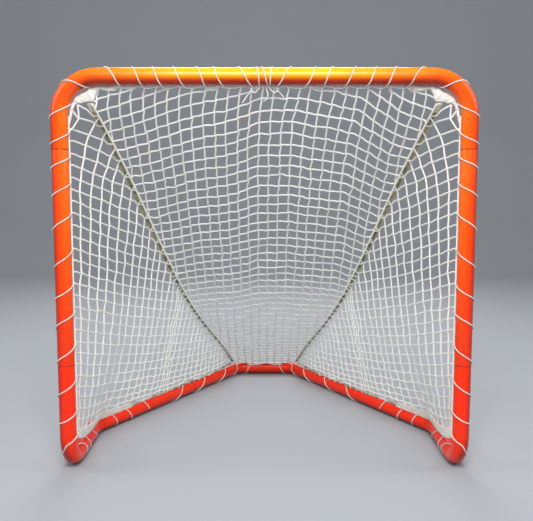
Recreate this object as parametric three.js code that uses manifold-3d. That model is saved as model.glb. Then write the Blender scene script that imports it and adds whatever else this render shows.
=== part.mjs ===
// Box lacrosse goal: a steel tube frame in slip-jointed pieces, with a sloping net laced to it.
// The goal line runs along X, +Y goes back into the goal and +Z is up. All sizes are millimetres.
import * as THREE from "three";
import { mergeVertices } from "three/addons/utils/BufferGeometryUtils.js";
import Module from "manifold-3d";

const wasm = await Module();
wasm.setup();

// Driving sizes of the frame
const openingWidth = 1219.2; // between the posts
const openingHeight = 1239; // ground to the underside of the crossbar
const frameDepth = 1240; // goal line to the rear bar
const rearBarHalf = 138; // middle of the goal to the corner of the rear bar
const stubDepth = 370; // goal line to the bend where the base turns inwards
const tubeOuter = 54;
const tubeWall = 2;
const topBendRadius = 120;
const footBendRadius = 100;
const footFlat = 14; // level run behind the foot bend, which stands on the ground
const footRise = 32; // run over which the base then lifts clear of the cord wound under it
const baseBendRadius = 60;
const rearBendRadius = 60;
const upperLegLength = 103; // end of the top bend to the slip joint below it
const lowerSeamHeight = 358;
const seamBeyondBend = 10; // straight run from a bend to the slip joint beside it

// Driving sizes of the slip joints and their screws
const neckLength = 60;
const slipGap = 0.5;
const seamGap = 0.3;
const shoulderChamfer = 1.6;
const neckWall = 2;
const screwShank = 4.2;
const screwHead = 9.6;
const screwHeadHeight = 3;
const screwLength = 11;
const screwPointLength = 3;

// Driving sizes of the net, its cords and its cloth trim
const seatGap = 0.3; // kept wherever one piece lies against another
const netPitch = 86;
const rowLead = -18; // added to the net's first gap over the base
const strandDiameter = 4.5;
const lacingDiameter = 3.5;
const tapeWidth = 20;
const tapeThickness = 2;
const lacingTail = 30; // loose end of each crossbar cord
const groundPress = 0.1; // how far the ground flattens the cords under the base
const patchThickness = 4;
const patchStripWidth = 10; // of the patch's arms beside the bar and the post
const patchBodyInset = 9; // far side of the patch's body to the end of the top bend
const patchBodySlant = 13; // cut across the patch's outer corners
const cuffHeight = 38; // cloth cuff on the foot of the side net
const cuffEndHeight = 23;
const cuffThickness = 4;
const cuffReachAlongRail = 105; // base bend to the rear end of the cuff
const bindingHeight = 20; // cloth binding on the rear edge of the net
const bindingThickness = 3;
const bindingHalfWidth = 83;
const bindingLift = 9; // rear edge of the net to the lower side of its binding
const centreSag = 150; // of the middle of the back net below a straight line
const seamSag = 83; // of each seam below a straight line
const patchArmAlongBar = 79; // end of the top bend to the end of the corner patch
const patchArmDownPost = 26; // end of the top bend to the lower end of the corner patch
const seamTopAcross = 25; // top of the seam to the end of the top bend, across
const seamTopDown = 38; // top of the seam to the end of the top bend, down

// Fineness of the faceted surfaces
const tubeSides = 16;
const bendStep = Math.PI / 12;
const turnSteps = 8;
const cordSides = 3;
const screwSides = 8;

// Sizes worked out from the driving ones
const tubeRadius = tubeOuter / 2;
const tubeFlat = tubeRadius * Math.cos(Math.PI / tubeSides);
const boreRadius = tubeRadius - tubeWall;
const neckRadius = (boreRadius - slipGap) * Math.cos(Math.PI / tubeSides);
const strandRadius = strandDiameter / 2;
const lacingRadius = lacingDiameter / 2;
const halfStep = Math.PI / turnSteps;
const lacingReach = (tubeRadius + seatGap + lacingRadius) / Math.cos(halfStep);
const borderReach = tubeRadius + seatGap + strandRadius;
const borderLacingReach = borderReach + (strandRadius + 2 * seatGap + lacingRadius) / Math.cos(Math.PI / 6);
const lacingFlat = lacingReach * Math.cos(halfStep) + lacingRadius / 2;
const postX = openingWidth / 2 + tubeRadius;
const barHeight = openingHeight + tubeRadius;
const legEnd = barHeight - topBendRadius;
const upperSeamHeight = legEnd - upperLegLength;
const seamTopInset = topBendRadius - seamTopAcross;
const seamTopDrop = topBendRadius - seamTopDown;
const patchBodyReach = topBendRadius - patchBodyInset;
const patchReachAlongBar = topBendRadius + patchArmAlongBar;
const patchReachDownPost = topBendRadius + patchArmDownPost;
const footCentre = tubeFlat;
const baseCentre = lacingFlat - groundPress; // the base tubes are up by the cord under them

// Materials
const paint = new THREE.MeshStandardMaterial({ color: 0xf2380c, roughness: 0.32, metalness: 0.1 });
const zinc = new THREE.MeshStandardMaterial({ color: 0xb9bcc0, roughness: 0.35, metalness: 0.9 });
const netCord = new THREE.MeshStandardMaterial({ color: 0xe4e4d8, roughness: 0.85, metalness: 0 });
const laceCord = new THREE.MeshStandardMaterial({ color: 0xefeee6, roughness: 0.8, metalness: 0 });
const webbing = new THREE.MeshStandardMaterial({ color: 0x8c8669, roughness: 0.9, metalness: 0 });
const patchCloth = new THREE.MeshStandardMaterial({ color: 0xf0eee8, roughness: 0.95, metalness: 0 });

const goal = new THREE.Group();
goal.name = "lacrosse_goal";

const vec = (x, y, z) => new THREE.Vector3(x, y, z);
const mix = (a, b, share) => a + (b - a) * share;
const clamp01 = (value) => Math.min(1, Math.max(0, value));

function addPiece(name, geometry, material) {
  const mesh = new THREE.Mesh(geometry, material);
  mesh.name = name;
  goal.add(mesh);
  return mesh;
}

// The left piece as modelled, and the right one as its mirror image.
function addPair(name, geometry, material) {
  addPiece("left_" + name, geometry, material);
  addPiece("right_" + name, geometry, material).scale.x = -1;
}

function meshFrom(points, faces) {
  const geometry = new THREE.BufferGeometry();
  const places = points.flatMap((p) => [p.x, p.y, p.z]);
  geometry.setAttribute("position", new THREE.Float32BufferAttribute(places, 3));
  geometry.setIndex(faces.flat());
  geometry.computeVertexNormals();
  return geometry;
}

function toSolid(geometry) {
  const bare = geometry.clone();
  bare.deleteAttribute("normal");
  bare.deleteAttribute("uv");
  const merged = mergeVertices(bare);
  return new wasm.Manifold(
    new wasm.Mesh({
      numProp: 3,
      vertProperties: merged.attributes.position.array,
      triVerts: new Uint32Array(merged.index.array),
    }),
  );
}

function fromSolid(solid) {
  const mesh = solid.getMesh();
  const geometry = new THREE.BufferGeometry();
  geometry.setAttribute("position", new THREE.Float32BufferAttribute(mesh.vertProperties, 3));
  geometry.setIndex([...mesh.triVerts]);
  geometry.computeVertexNormals();
  return geometry;
}

// A tube's centre line: straight runs joined by round bends, with a frame that never twists.
class Route {
  constructor(corners, radii, firstNormal) {
    this.pieces = [];
    this.firstTangent = corners[1].clone().sub(corners[0]).normalize();
    this.firstNormal = firstNormal;
    this.length = 0;
    const turned = new THREE.Quaternion();
    let start = corners[0].clone();
    for (let i = 1; i < corners.length; i++) {
      const along = corners[i].clone().sub(corners[i - 1]).normalize();
      const next = corners[i + 1] ? corners[i + 1].clone().sub(corners[i]).normalize() : along;
      const angle = along.angleTo(next);
      const radius = radii[i - 1] ?? 0;
      const end = corners[i].clone().addScaledVector(along, -radius * Math.tan(angle / 2));
      this.push({ start, along, turned: turned.clone() }, start.distanceTo(end));
      if (angle > 0) {
        const axis = along.clone().cross(next).normalize();
        const centre = end.clone().addScaledVector(axis.clone().cross(along), radius);
        this.push({ start: end, centre, axis, radius, turned: turned.clone() }, radius * angle);
        turned.premultiply(new THREE.Quaternion().setFromAxisAngle(axis, angle));
        start = corners[i].clone().addScaledVector(next, radius * Math.tan(angle / 2));
      }
    }
  }

  pieceAt(distance) {
    return this.pieces.find((one) => distance <= one.to) ?? this.pieces[this.pieces.length - 1];
  }

  push(piece, length) {
    this.pieces.push({ ...piece, from: this.length, to: this.length + length });
    this.length += length;
  }

  at(distance) {
    const piece = this.pieceAt(distance);
    const run = distance - piece.from;
    const turned = piece.turned.clone();
    const point = piece.start.clone();
    if (piece.centre) {
      const turn = new THREE.Quaternion().setFromAxisAngle(piece.axis, run / piece.radius);
      turned.premultiply(turn);
      point.sub(piece.centre).applyQuaternion(turn).add(piece.centre);
    } else {
      point.addScaledVector(piece.along, run);
    }
    const tangent = this.firstTangent.clone().applyQuaternion(turned);
    const normal = this.firstNormal.clone().applyQuaternion(turned);
    return { point, tangent, normal, side: tangent.clone().cross(normal) };
  }

  // Every distance from one place to another where a ring is needed.
  stations(from, to) {
    const list = [from];
    for (const piece of this.pieces) {
      const steps = piece.centre ? Math.ceil((piece.to - piece.from) / piece.radius / bendStep) : 1;
      for (let i = 0; i <= steps; i++) {
        const distance = mix(piece.from, piece.to, i / steps);
        if (distance > from + seamGap && distance < to - seamGap) list.push(distance);
      }
    }
    list.push(to);
    return list.filter((distance, i) => i === 0 || distance - list[i - 1] > 1e-6 * this.length);
  }
}

// A point beside the route: angle zero is along its normal, a quarter turn along its side.
function beside(route, distance, reach, angle) {
  const { point, normal, side } = route.at(distance);
  point.addScaledVector(normal, reach * Math.cos(angle));
  return point.addScaledVector(side, reach * Math.sin(angle));
}

// Joins rings of equal size into one closed skin: the last ring meets the first, or both ends are capped.
function ringGeometry(rings, capped) {
  const sides = rings[0].length;
  const faces = [];
  const last = (rings.length - 1) * sides;
  for (let k = 1; capped && k + 1 < sides; k++) {
    faces.push([0, k + 1, k]);
    faces.push([last, last + k, last + k + 1]);
  }
  rings.slice(capped ? 1 : 0).forEach((_, i) => {
    const next = (i + 1) % rings.length;
    for (let k = 0; k < sides; k++) {
      const turned = (k + 1) % sides;
      const a = i * sides + k;
      const b = i * sides + turned;
      const c = next * sides + turned;
      const d = next * sides + k;
      faces.push([a, b, c], [a, c, d]);
    }
  });
  return meshFrom(rings.flat(), faces);
}

function ringAt(route, distance, radius) {
  return Array.from({ length: tubeSides }, (_, k) =>
    beside(route, distance, radius, ((k + 0.5) * 2 * Math.PI) / tubeSides),
  );
}

// A hollow tube along part of a route, with a reduced neck beyond a chamfered shoulder where asked.
function tubePiece(route, from, to, neckAtStart, neckAtEnd) {
  const outside = route.stations(from, to).map((distance) => [distance, tubeRadius]);
  const inside = route.stations(from, to).map((distance) => [distance, boreRadius]);
  const neckBore = neckRadius - neckWall;
  const [begin, shoulder] = [from - neckLength, from + shoulderChamfer];
  const [lastShoulder, finish] = [to - shoulderChamfer, to + neckLength];
  if (neckAtStart) {
    outside.splice(0, 1, [begin, neckRadius], [from, neckRadius], [shoulder, tubeRadius]);
    inside.splice(0, 1, [begin, neckBore], [from, neckBore], [shoulder, boreRadius]);
  }
  if (neckAtEnd) {
    outside.splice(-1, 1, [lastShoulder, tubeRadius], [to, neckRadius], [finish, neckRadius]);
    inside.splice(-1, 1, [lastShoulder, boreRadius], [to, neckBore], [finish, neckBore]);
  }
  const profile = [...outside, ...inside.reverse()];
  return ringGeometry(
    profile.map(([distance, radius]) => ringAt(route, distance, radius)),
    false,
  );
}

// Centre lines: the crossbar with its two corners, and the base from one post round to the other
const barRoute = new Route(
  [
    vec(-postX, 0, upperSeamHeight - neckLength),
    vec(-postX, 0, barHeight),
    vec(postX, 0, barHeight),
    vec(postX, 0, upperSeamHeight - neckLength),
  ],
  [topBendRadius, topBendRadius],
  vec(0, -1, 0),
);
const footBack = footBendRadius + footFlat;
const baseCorners = [
  vec(-postX, 0, legEnd),
  vec(-postX, 0, footCentre),
  vec(-postX, footBack, footCentre),
  vec(-postX, footBack + footRise, baseCentre),
  vec(-postX, stubDepth, baseCentre),
  vec(-rearBarHalf, frameDepth, baseCentre),
];
const mirrored = (point) => vec(-point.x, point.y, point.z);
const baseRadii = [footBendRadius, 0, 0, baseBendRadius, rearBendRadius];
const baseRoute = new Route(
  [...baseCorners, ...baseCorners.map(mirrored).reverse()],
  [...baseRadii, ...[...baseRadii].reverse()],
  vec(1, 0, 0),
);
const bends = baseRoute.pieces.filter((piece) => piece.centre);
const [footBend, , , baseBend, rearBend] = bends;
const barMiddle = barRoute.length / 2;
const baseMiddle = baseRoute.length / 2;
const onPost = (height) => legEnd - height; // distance along the base route to a height on the left post

// Slip joints, as distances along the base route
const upperSeam = onPost(upperSeamHeight);
const lowerSeam = onPost(lowerSeamHeight);
const frontSeam = baseBend.to + seamBeyondBend;
const rearSeam = rearBend.from - seamBeyondBend;

// The frame's tubes
function frameTubes() {
  const legStart = neckLength + seamGap;
  const crossbar = tubePiece(barRoute, legStart, barRoute.length - legStart, false, false);
  const post = tubePiece(baseRoute, upperSeam, lowerSeam - seamGap, true, false);
  const corner = tubePiece(baseRoute, lowerSeam, frontSeam, true, true);
  const rail = tubePiece(baseRoute, frontSeam + seamGap, rearSeam - seamGap, false, false);
  const rearBar = tubePiece(baseRoute, rearSeam, baseRoute.length - rearSeam, true, true);
  return { crossbar, post, corner, rail, rearBar };
}

// A pan-head screw, pointing along -Z from the underside of its head at the origin
function screwGeometry() {
  const neck = -screwLength + screwPointLength;
  const profile = [
    [0, -screwLength],
    [screwShank / 2, neck],
    [screwShank / 2, 0],
    [screwHead / 2, 0],
    [screwHead / 2, screwHeadHeight / 2],
    [screwHead / 4, screwHeadHeight],
    [0, screwHeadHeight],
  ];
  const lathe = new THREE.LatheGeometry(
    profile.map(([x, y]) => new THREE.Vector2(x, y)),
    screwSides,
  );
  return lathe.rotateX(Math.PI / 2);
}

// A plain round cutter of one radius, along Z through the origin
function cutterSolid(radius, length) {
  return toSolid(new THREE.CylinderGeometry(radius, radius, length, screwSides).rotateX(Math.PI / 2));
}

// Where each screw goes: on the outer tube, half way along the neck inside it
const screwSeats = {
  upper_joint: { distance: upperSeam - neckLength / 2, angle: -Math.PI / 2 },
  lower_joint: { distance: lowerSeam - neckLength / 2, angle: -Math.PI / 2 },
  front_joint: { distance: frontSeam + neckLength / 2, angle: Math.PI },
  rear_joint: { distance: rearSeam - neckLength / 2, angle: Math.PI },
};

function seatMatrix({ distance, angle }) {
  const seat = beside(baseRoute, distance, tubeFlat + seatGap, angle);
  const centre = baseRoute.at(distance).point;
  const outward = seat.clone().sub(centre).normalize();
  const turn = new THREE.Quaternion().setFromUnitVectors(vec(0, 0, 1), outward);
  return new THREE.Matrix4().compose(seat, turn, vec(1, 1, 1));
}

const holeRadius = screwShank / 2 + seatGap;
function drilled(geometry, seatNames, bothSides) {
  let solid = toSolid(geometry);
  for (const name of seatNames) {
    const matrix = seatMatrix(screwSeats[name]);
    const cutter = cutterSolid(holeRadius, tubeRadius);
    solid = solid.subtract(cutter.transform(matrix.elements));
    if (bothSides) {
      const mirror = new THREE.Matrix4().makeScale(-1, 1, 1).multiply(matrix);
      solid = solid.subtract(cutter.transform(mirror.elements));
    }
  }
  return fromSolid(solid);
}

function addFrame() {
  const tubes = frameTubes();
  addPiece("crossbar", drilled(tubes.crossbar, ["upper_joint"], true), paint);
  addPair("post", drilled(tubes.post, ["upper_joint", "lower_joint"], false), paint);
  addPair("base_corner", drilled(tubes.corner, ["lower_joint", "front_joint"], false), paint);
  addPair("base_rail", drilled(tubes.rail, ["front_joint", "rear_joint"], false), paint);
  addPiece("rear_bar", drilled(tubes.rearBar, ["rear_joint"], true), paint);
  for (const [name, seat] of Object.entries(screwSeats))
    addPair(name + "_screw", screwGeometry().applyMatrix4(seatMatrix(seat)), zinc);
}

// The net hangs from these edges: each edge strand lies against its tube, at one of the lacing's steps
const barEdgeAngle = 3 * halfStep; // from straight back, turning down
const postEdgeAngle = -halfStep; // from straight in, turning back
const baseEdgeAngle = -3 * halfStep; // from straight in, turning up
const barEdgeY = borderReach * Math.cos(barEdgeAngle);
const barEdgeZ = barHeight - borderReach * Math.sin(barEdgeAngle);
const rearEdgeY = frameDepth - barEdgeY;
const rearEdgeZ = baseCentre + barHeight - barEdgeZ;

// The side net's edge strand, from high on the post down and round the foot to the rear bar
function edgeAngle(distance) {
  const share = clamp01((distance - footBend.from) / (footBend.to - footBend.from));
  return mix(postEdgeAngle, baseEdgeAngle, share);
}
const sideEdge = (distance) => beside(baseRoute, distance, borderReach, edgeAngle(distance));

// The seam between the back net and the side net, from the top corner to the rear corner
const seamTop = vec(seamTopInset - postX, barEdgeY, barHeight - seamTopDrop);
const seamFoot = sideEdge(rearBend.from);
const seamSkewShare = 1.15;
function seamPoint(share) {
  const point = seamTop.clone().lerp(seamFoot, share);
  point.z -= seamSag * Math.sin(Math.PI * Math.pow(share, seamSkewShare)) ** 2;
  return point;
}
const seamShareAt = (y) => clamp01((y - seamTop.y) / (seamFoot.y - seamTop.y));
const seamAcross = vec(seamFoot.y - seamTop.y, seamTop.x - seamFoot.x, 0).normalize();
const besideSeam = (share, reach) => seamPoint(share).addScaledVector(seamAcross, reach);

// The back net's height over any place on the ground plan
const sagSkewShare = 0.85;
function backHeight(x, y) {
  const share = clamp01((y - barEdgeY) / (rearEdgeY - barEdgeY));
  const skewed = Math.pow(share, sagSkewShare);
  const middle = mix(barEdgeZ, rearEdgeZ, share) - 4 * centreSag * skewed * (1 - skewed);
  const seam = seamPoint(seamShareAt(y));
  const out = clamp01(Math.abs(x / seam.x));
  return mix(middle, seam.z, out * out * clamp01((y - barEdgeY) / seamTopInset));
}

// Walks down one column of the back net and gives the place at each knot, up to the seam or the rear bar.
const shortestLink = netPitch / 4;
const netReach = tapeWidth / 2 + seatGap + strandRadius; // how far from the middle of its seam a net stops
const pastSeam = (x, y) => vec(-Math.abs(x), y, seamTop.z).sub(seamTop).dot(seamAcross) < netReach;
function backColumn(x) {
  const step = strandDiameter / 2;
  const knots = [vec(x, barEdgeY, backHeight(x, barEdgeY))];
  let here = knots[0].clone();
  let walked = 0;
  for (;;) {
    const slope = (backHeight(x, here.y + step) - here.z) / step;
    const ahead = here.y + step / Math.hypot(1, slope);
    const next = vec(x, ahead, backHeight(x, ahead));
    const atRear = next.y > rearEdgeY;
    if (pastSeam(x, next.y) || atRear) return { knots, end: here, walked, atRear };
    walked += here.distanceTo(next);
    if (walked >= netPitch * knots.length) knots.push(next.clone());
    here = next;
  }
}

// A lattice of strands with a three-cornered section, which share their corners at each knot
function latticeGeometry(knots, links) {
  const around = knots.map(() => []);
  links.forEach(([a, b]) => {
    around[a].push(b);
    around[b].push(a);
  });
  const points = [];
  const faces = [];
  const laid = knots.map(({ point, normal }, at) => {
    const first = knots[around[at][0]].point;
    const ahead = first.clone().sub(point).projectOnPlane(normal).normalize();
    const left = normal.clone().cross(ahead);
    const bearings = around[at].map((other, i) => {
      const line = knots[other].point.clone().sub(point);
      const bearing = i ? Math.atan2(line.dot(left), line.dot(ahead)) : 0;
      return { other, bearing: bearing < 0 ? bearing + 2 * Math.PI : bearing };
    });
    bearings.sort((one, two) => one.bearing - two.bearing);
    const place = (bearing, reach) => {
      const corner = point.clone().addScaledVector(normal, -strandRadius / 2);
      corner.addScaledVector(ahead, reach * Math.cos(bearing)).addScaledVector(left, reach * Math.sin(bearing));
      return points.push(corner) - 1;
    };
    const top = points.push(point.clone().addScaledVector(normal, strandRadius)) - 1;
    const toLeft = {};
    const toRight = {};
    if (bearings.length === 1) {
      toLeft[bearings[0].other] = place(Math.PI / 2, strandRadius);
      toRight[bearings[0].other] = place(-Math.PI / 2, strandRadius);
      faces.push([top, toLeft[bearings[0].other], toRight[bearings[0].other]]);
      return { top, toLeft, toRight };
    }
    const corners = bearings.map(({ other, bearing }, i) => {
      const following = bearings[(i + 1) % bearings.length];
      const opening = (following.bearing - bearing + 2 * Math.PI) % (2 * Math.PI);
      const corner = place(bearing + opening / 2, strandRadius / Math.sin(opening / 2));
      toLeft[other] = corner;
      toRight[following.other] = corner;
      return corner;
    });
    for (let i = 1; i + 1 < corners.length; i++) faces.push([corners[0], corners[i + 1], corners[i]]);
    return { top, toLeft, toRight };
  });
  links.forEach(([a, b]) => {
    const [aTop, aLeft, aRight] = [laid[a].top, laid[a].toLeft[b], laid[a].toRight[b]];
    const [bTop, bLeft, bRight] = [laid[b].top, laid[b].toRight[a], laid[b].toLeft[a]];
    faces.push([aTop, bTop, bLeft], [aTop, bLeft, aLeft]);
    faces.push([aTop, aRight, bRight], [aTop, bRight, bTop]);
    faces.push([aLeft, bLeft, bRight], [aLeft, bRight, aRight]);
  });
  return meshFrom(points, faces);
}

// The surface normal of a net, from two directions that lie in it
const normalOf = (one, two) => one.clone().cross(two).normalize();

// Where a row of the back net, going out through two knots, stops beside the seam
function rowEnd(inner, outer) {
  const side = Math.sign(outer.x);
  const lean = (outer.y - inner.y) / (outer.x - inner.x);
  let end = outer.clone();
  for (let x = Math.abs(outer.x); x < postX; x += strandRadius) {
    const y = outer.y + lean * (side * x - outer.x);
    if (pastSeam(x, y)) break;
    end = vec(side * x, y, backHeight(x, y));
  }
  return end;
}

// The back net: columns run down from the crossbar, rows across from seam to seam
const columnCount = Math.floor((-seamTop.x - tapeWidth) / netPitch);
function backNet() {
  const knots = [];
  const links = [];
  const addKnot = (point) => {
    const step = strandDiameter;
    const y = Math.min(point.y, rearEdgeY - step);
    const along = vec(0, step, backHeight(point.x, y + step) - backHeight(point.x, y));
    const rise = backHeight(point.x + step, y) - backHeight(point.x - step, y);
    return knots.push({ point, normal: normalOf(vec(2 * step, 0, rise), along) }) - 1;
  };
  const columns = [];
  for (let k = -columnCount; k <= columnCount; k++) {
    const { knots: places, end, walked, atRear } = backColumn(k * netPitch);
    if (places.length > 1 && walked - netPitch * (places.length - 1) < shortestLink) places.pop();
    const column = { rows: places.map(addKnot), places };
    if (atRear) column.rear = addKnot(vec(end.x, rearEdgeY, rearEdgeZ));
    column.end = column.rear ?? addKnot(end);
    columns.push(column);
  }
  columns.forEach(({ rows, end }) => {
    for (let i = 1; i < rows.length; i++) links.push([rows[i - 1], rows[i]]);
    links.push([rows[rows.length - 1], end]);
  });
  for (let c = 0; c + 1 < columns.length; c++) {
    const [here, there] = [columns[c], columns[c + 1]];
    const shared = Math.min(here.rows.length, there.rows.length);
    for (let i = 0; i < shared; i++) links.push([here.rows[i], there.rows[i]]);
    if (here.rear !== undefined && there.rear !== undefined) links.push([here.rear, there.rear]);
  }
  for (const order of [columns, [...columns].reverse()]) {
    const half = order.slice(0, columnCount + 1);
    for (let i = 1; i < half[columnCount].rows.length; i++) {
      const outer = half.findIndex(({ rows }) => rows.length > i);
      if (outer < 0 || outer === columnCount) continue;
      const end = rowEnd(half[outer + 1].places[i], half[outer].places[i]);
      const tooShort = end.distanceTo(half[outer].places[i]) < shortestLink;
      if (!tooShort) links.push([half[outer].rows[i], addKnot(end)]);
    }
  }
  return latticeGeometry(knots, links);
}

// The side net, which spans the post, the base tubes and the seam
const halvings = 40; // of each search for a place along a line
const rowDropShare = 0.24; // how far each row falls for each step back into the goal
const columnStep = netPitch * Math.cos(Math.atan2(postX - rearBarHalf, frameDepth));
const edgeDistanceAt = (y) => {
  let [low, high] = [footBend.from, rearBend.to];
  for (let i = 0; i < halvings; i++) {
    const middle = (low + high) / 2;
    if (sideEdge(middle).y < y) low = middle;
    else high = middle;
  }
  return low;
};
const postEdgeY = sideEdge(upperSeam).y;
const postEdgeX = sideEdge(upperSeam).x;
const bulgeHeight = 300; // how far up the base's outward bend still shows in the side net

// A place in the side net, for a depth into the goal and a height over the ground
function sidePlace(y, height) {
  const base = sideEdge(edgeDistanceAt(y));
  let [low, high] = [0, 1];
  for (let i = 0; i < halvings; i++) {
    const middle = (low + high) / 2;
    if (seamPoint(middle).z > height) low = middle;
    else high = middle;
  }
  const seam = besideSeam(low, -netReach);
  const along = clamp01((y - postEdgeY) / (seam.y - postEdgeY));
  const straight = mix(postEdgeX, seam.x, along);
  const bulge = Math.exp((base.z - height) / bulgeHeight) * (1 - along ** 4);
  return vec(mix(straight, base.x, bulge), y, height);
}

function sideKnotHeight(row, y) {
  const full = row * netPitch + Math.sign(row) * rowLead;
  const left = full ? Math.exp((-rowDropShare * (y - postEdgeY)) / full) : 0;
  return sideEdge(edgeDistanceAt(y)).z + full * left;
}

const seamHeightAt = (y) => besideSeam(seamShareAt(y), -netReach).z;
const postRowHeight = (row) => sideEdge(footBend.to).z + rowLead + row * netPitch;
const postNetTop = barHeight - patchReachDownPost - seatGap;
const postRows = Math.floor((postNetTop - postRowHeight(0)) / netPitch);
const bendEdgeY = sideEdge((baseBend.from + baseBend.to) / 2).y;
function evenSteps(from, to) {
  const count = Math.round((to - from) / columnStep);
  return Array.from({ length: count }, (_, i) => mix(from, to, (i + 1) / count));
}
const sideColumnYs = [...evenSteps(postEdgeY, bendEdgeY), ...evenSteps(bendEdgeY, seamFoot.y).slice(0, -1)];

function sideNet() {
  const knots = [];
  const links = [];
  const addKnot = (point, normal) => knots.push({ point, normal: normal.normalize() }) - 1;
  const outward = (y, height) => {
    const step = strandDiameter;
    const here = sidePlace(y, height);
    const back = sidePlace(y + step, height).sub(here);
    const up = sidePlace(y, height + step).sub(here);
    return up.cross(back);
  };
  const footPlaces = [footBend.from, (footBend.from + footBend.to) / 2, footBend.to];
  footPlaces.push(edgeDistanceAt(footBack), edgeDistanceAt(footBack + footRise));
  const onEdge = footPlaces.map((place) => ({ knot: addKnot(sideEdge(place), vec(-1, 0, 0)), place }));
  const post = [onEdge[0].knot];
  for (let row = 1; row <= postRows; row++) {
    const place = sideEdge(onPost(postRowHeight(row)));
    post.push(addKnot(place, vec(-1, 0, 0)));
  }
  const postTop = addKnot(sideEdge(onPost(postNetTop)), vec(-1, 0, 0));
  const columns = [{ rows: post, top: postTop, y: postEdgeY }];
  for (const y of sideColumnYs) {
    const place = edgeDistanceAt(y);
    const rows = [addKnot(sideEdge(place), outward(y, sideKnotHeight(1, y)))];
    onEdge.push({ knot: rows[0], place });
    const seamHeight = seamHeightAt(y);
    for (let row = 1; sideKnotHeight(row, y) < seamHeight - shortestLink; row++) {
      const height = sideKnotHeight(row, y);
      if (height - knots[rows[0]].point.z < shortestLink) rows.push(undefined);
      else rows.push(addKnot(sidePlace(y, height), outward(y, height)));
    }
    const seam = besideSeam(seamShareAt(y), -netReach);
    columns.push({ rows, top: addKnot(seam, outward(y, seam.z)), y });
  }
  columns.forEach(({ rows, top }) => {
    const line = [...rows, top].filter((knot) => knot !== undefined);
    for (let i = 1; i < line.length; i++) links.push([line[i - 1], line[i]]);
  });
  const seamLine = columns.slice(1).map(({ top, y }) => ({ knot: top, y }));
  const seamStart = besideSeam(0, -netReach);
  seamLine.push({ knot: addKnot(seamStart, vec(-1, 0, 0)), y: seamStart.y });
  onEdge.sort((one, two) => one.place - two.place);
  for (let i = 1; i < onEdge.length; i++) links.push([onEdge[i - 1].knot, onEdge[i].knot]);
  columns.forEach((here, c) => {
    const there = columns[c + 1] ?? { rows: [], y: seamFoot.y };
    here.rows.forEach((knot, row) => {
      if (knot === undefined || row === 0) return;
      if (there.rows[row] !== undefined) {
        links.push([knot, there.rows[row]]);
        return;
      }
      if (there.rows.length > row) return;
      for (let i = 1; i <= halvings; i++) {
        const y = mix(here.y, there.y, i / halvings);
        if (sideKnotHeight(row, y) < seamHeightAt(y)) continue;
        const crossing = besideSeam(seamShareAt(y), -netReach);
        const near = seamLine.find((one) => Math.abs(one.y - y) < shortestLink);
        if (near) links.push([knot, near.knot]);
        else {
          seamLine.push({ knot: addKnot(crossing, outward(y, crossing.z)), y });
          links.push([knot, seamLine[seamLine.length - 1].knot]);
        }
        return;
      }
    });
  });
  seamLine.sort((one, two) => one.y - two.y);
  for (let i = 1; i < seamLine.length; i++) links.push([seamLine[i - 1].knot, seamLine[i].knot]);
  return latticeGeometry(knots, links);
}

// A flat strap: each ring has its middle, the way across its width and the way through its thickness.
function strapRing(middle, across, through, width, thickness) {
  const corners = [
    [1, 1],
    [-1, 1],
    [-1, -1],
    [1, -1],
  ];
  return corners.map(([a, t]) =>
    middle
      .clone()
      .addScaledVector(across, (a * width) / 2)
      .addScaledVector(through, (t * thickness) / 2),
  );
}

// The woven tape along each seam, from the corner patch down to the rear corner
const tapeSteps = 24;
const tapeEndShare = 0.985;
const tapeProbeShare = 0.002;
function seamTape() {
  const rings = Array.from({ length: tapeSteps + 1 }, (_, i) => {
    const share = (tapeEndShare * i) / tapeSteps;
    const along = seamPoint(share + tapeProbeShare).sub(seamPoint(share)).normalize();
    const through = along.clone().cross(seamAcross);
    return strapRing(seamPoint(share), seamAcross, through, tapeWidth, tapeThickness);
  });
  return ringGeometry(rings, true);
}

// The cloth patch in each top corner: a body inside the bend, an arm beside the bar and one beside the post
const patchClear = borderLacingReach + lacingRadius / 2 + seatGap;
const patchBodyDrop = seamTopDrop - tapeThickness / 2 - seatGap;
const patchBendSteps = 6;
function cornerPatch() {
  const armSide = patchClear + patchStripWidth;
  const outline = [
    [patchReachAlongBar, patchClear],
    [patchReachAlongBar, armSide],
    [patchBodyReach + patchBodySlant, armSide],
    [patchBodyReach, armSide + patchBodySlant],
    [patchBodyReach, patchBodyDrop],
    [armSide + patchBodySlant, patchBodyDrop],
    [armSide, patchBodyDrop + patchBodySlant],
    [armSide, patchReachDownPost],
    [patchClear, patchReachDownPost],
    [patchClear, topBendRadius],
  ];
  const bendReach = topBendRadius - patchClear;
  for (let i = 1; i <= patchBendSteps; i++) {
    const turn = (i * Math.PI) / 2 / patchBendSteps;
    outline.push([topBendRadius - bendReach * Math.cos(turn), topBendRadius - bendReach * Math.sin(turn)]);
  }
  const corners = outline.map(([across, down]) => new THREE.Vector2(across - postX, barHeight - down));
  const shape = new THREE.Shape(corners);
  const plate = new THREE.ExtrudeGeometry(shape, { depth: patchThickness, bevelEnabled: false });
  return plate.rotateX(Math.PI / 2).translate(0, barEdgeY + patchThickness / 2, 0);
}

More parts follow.
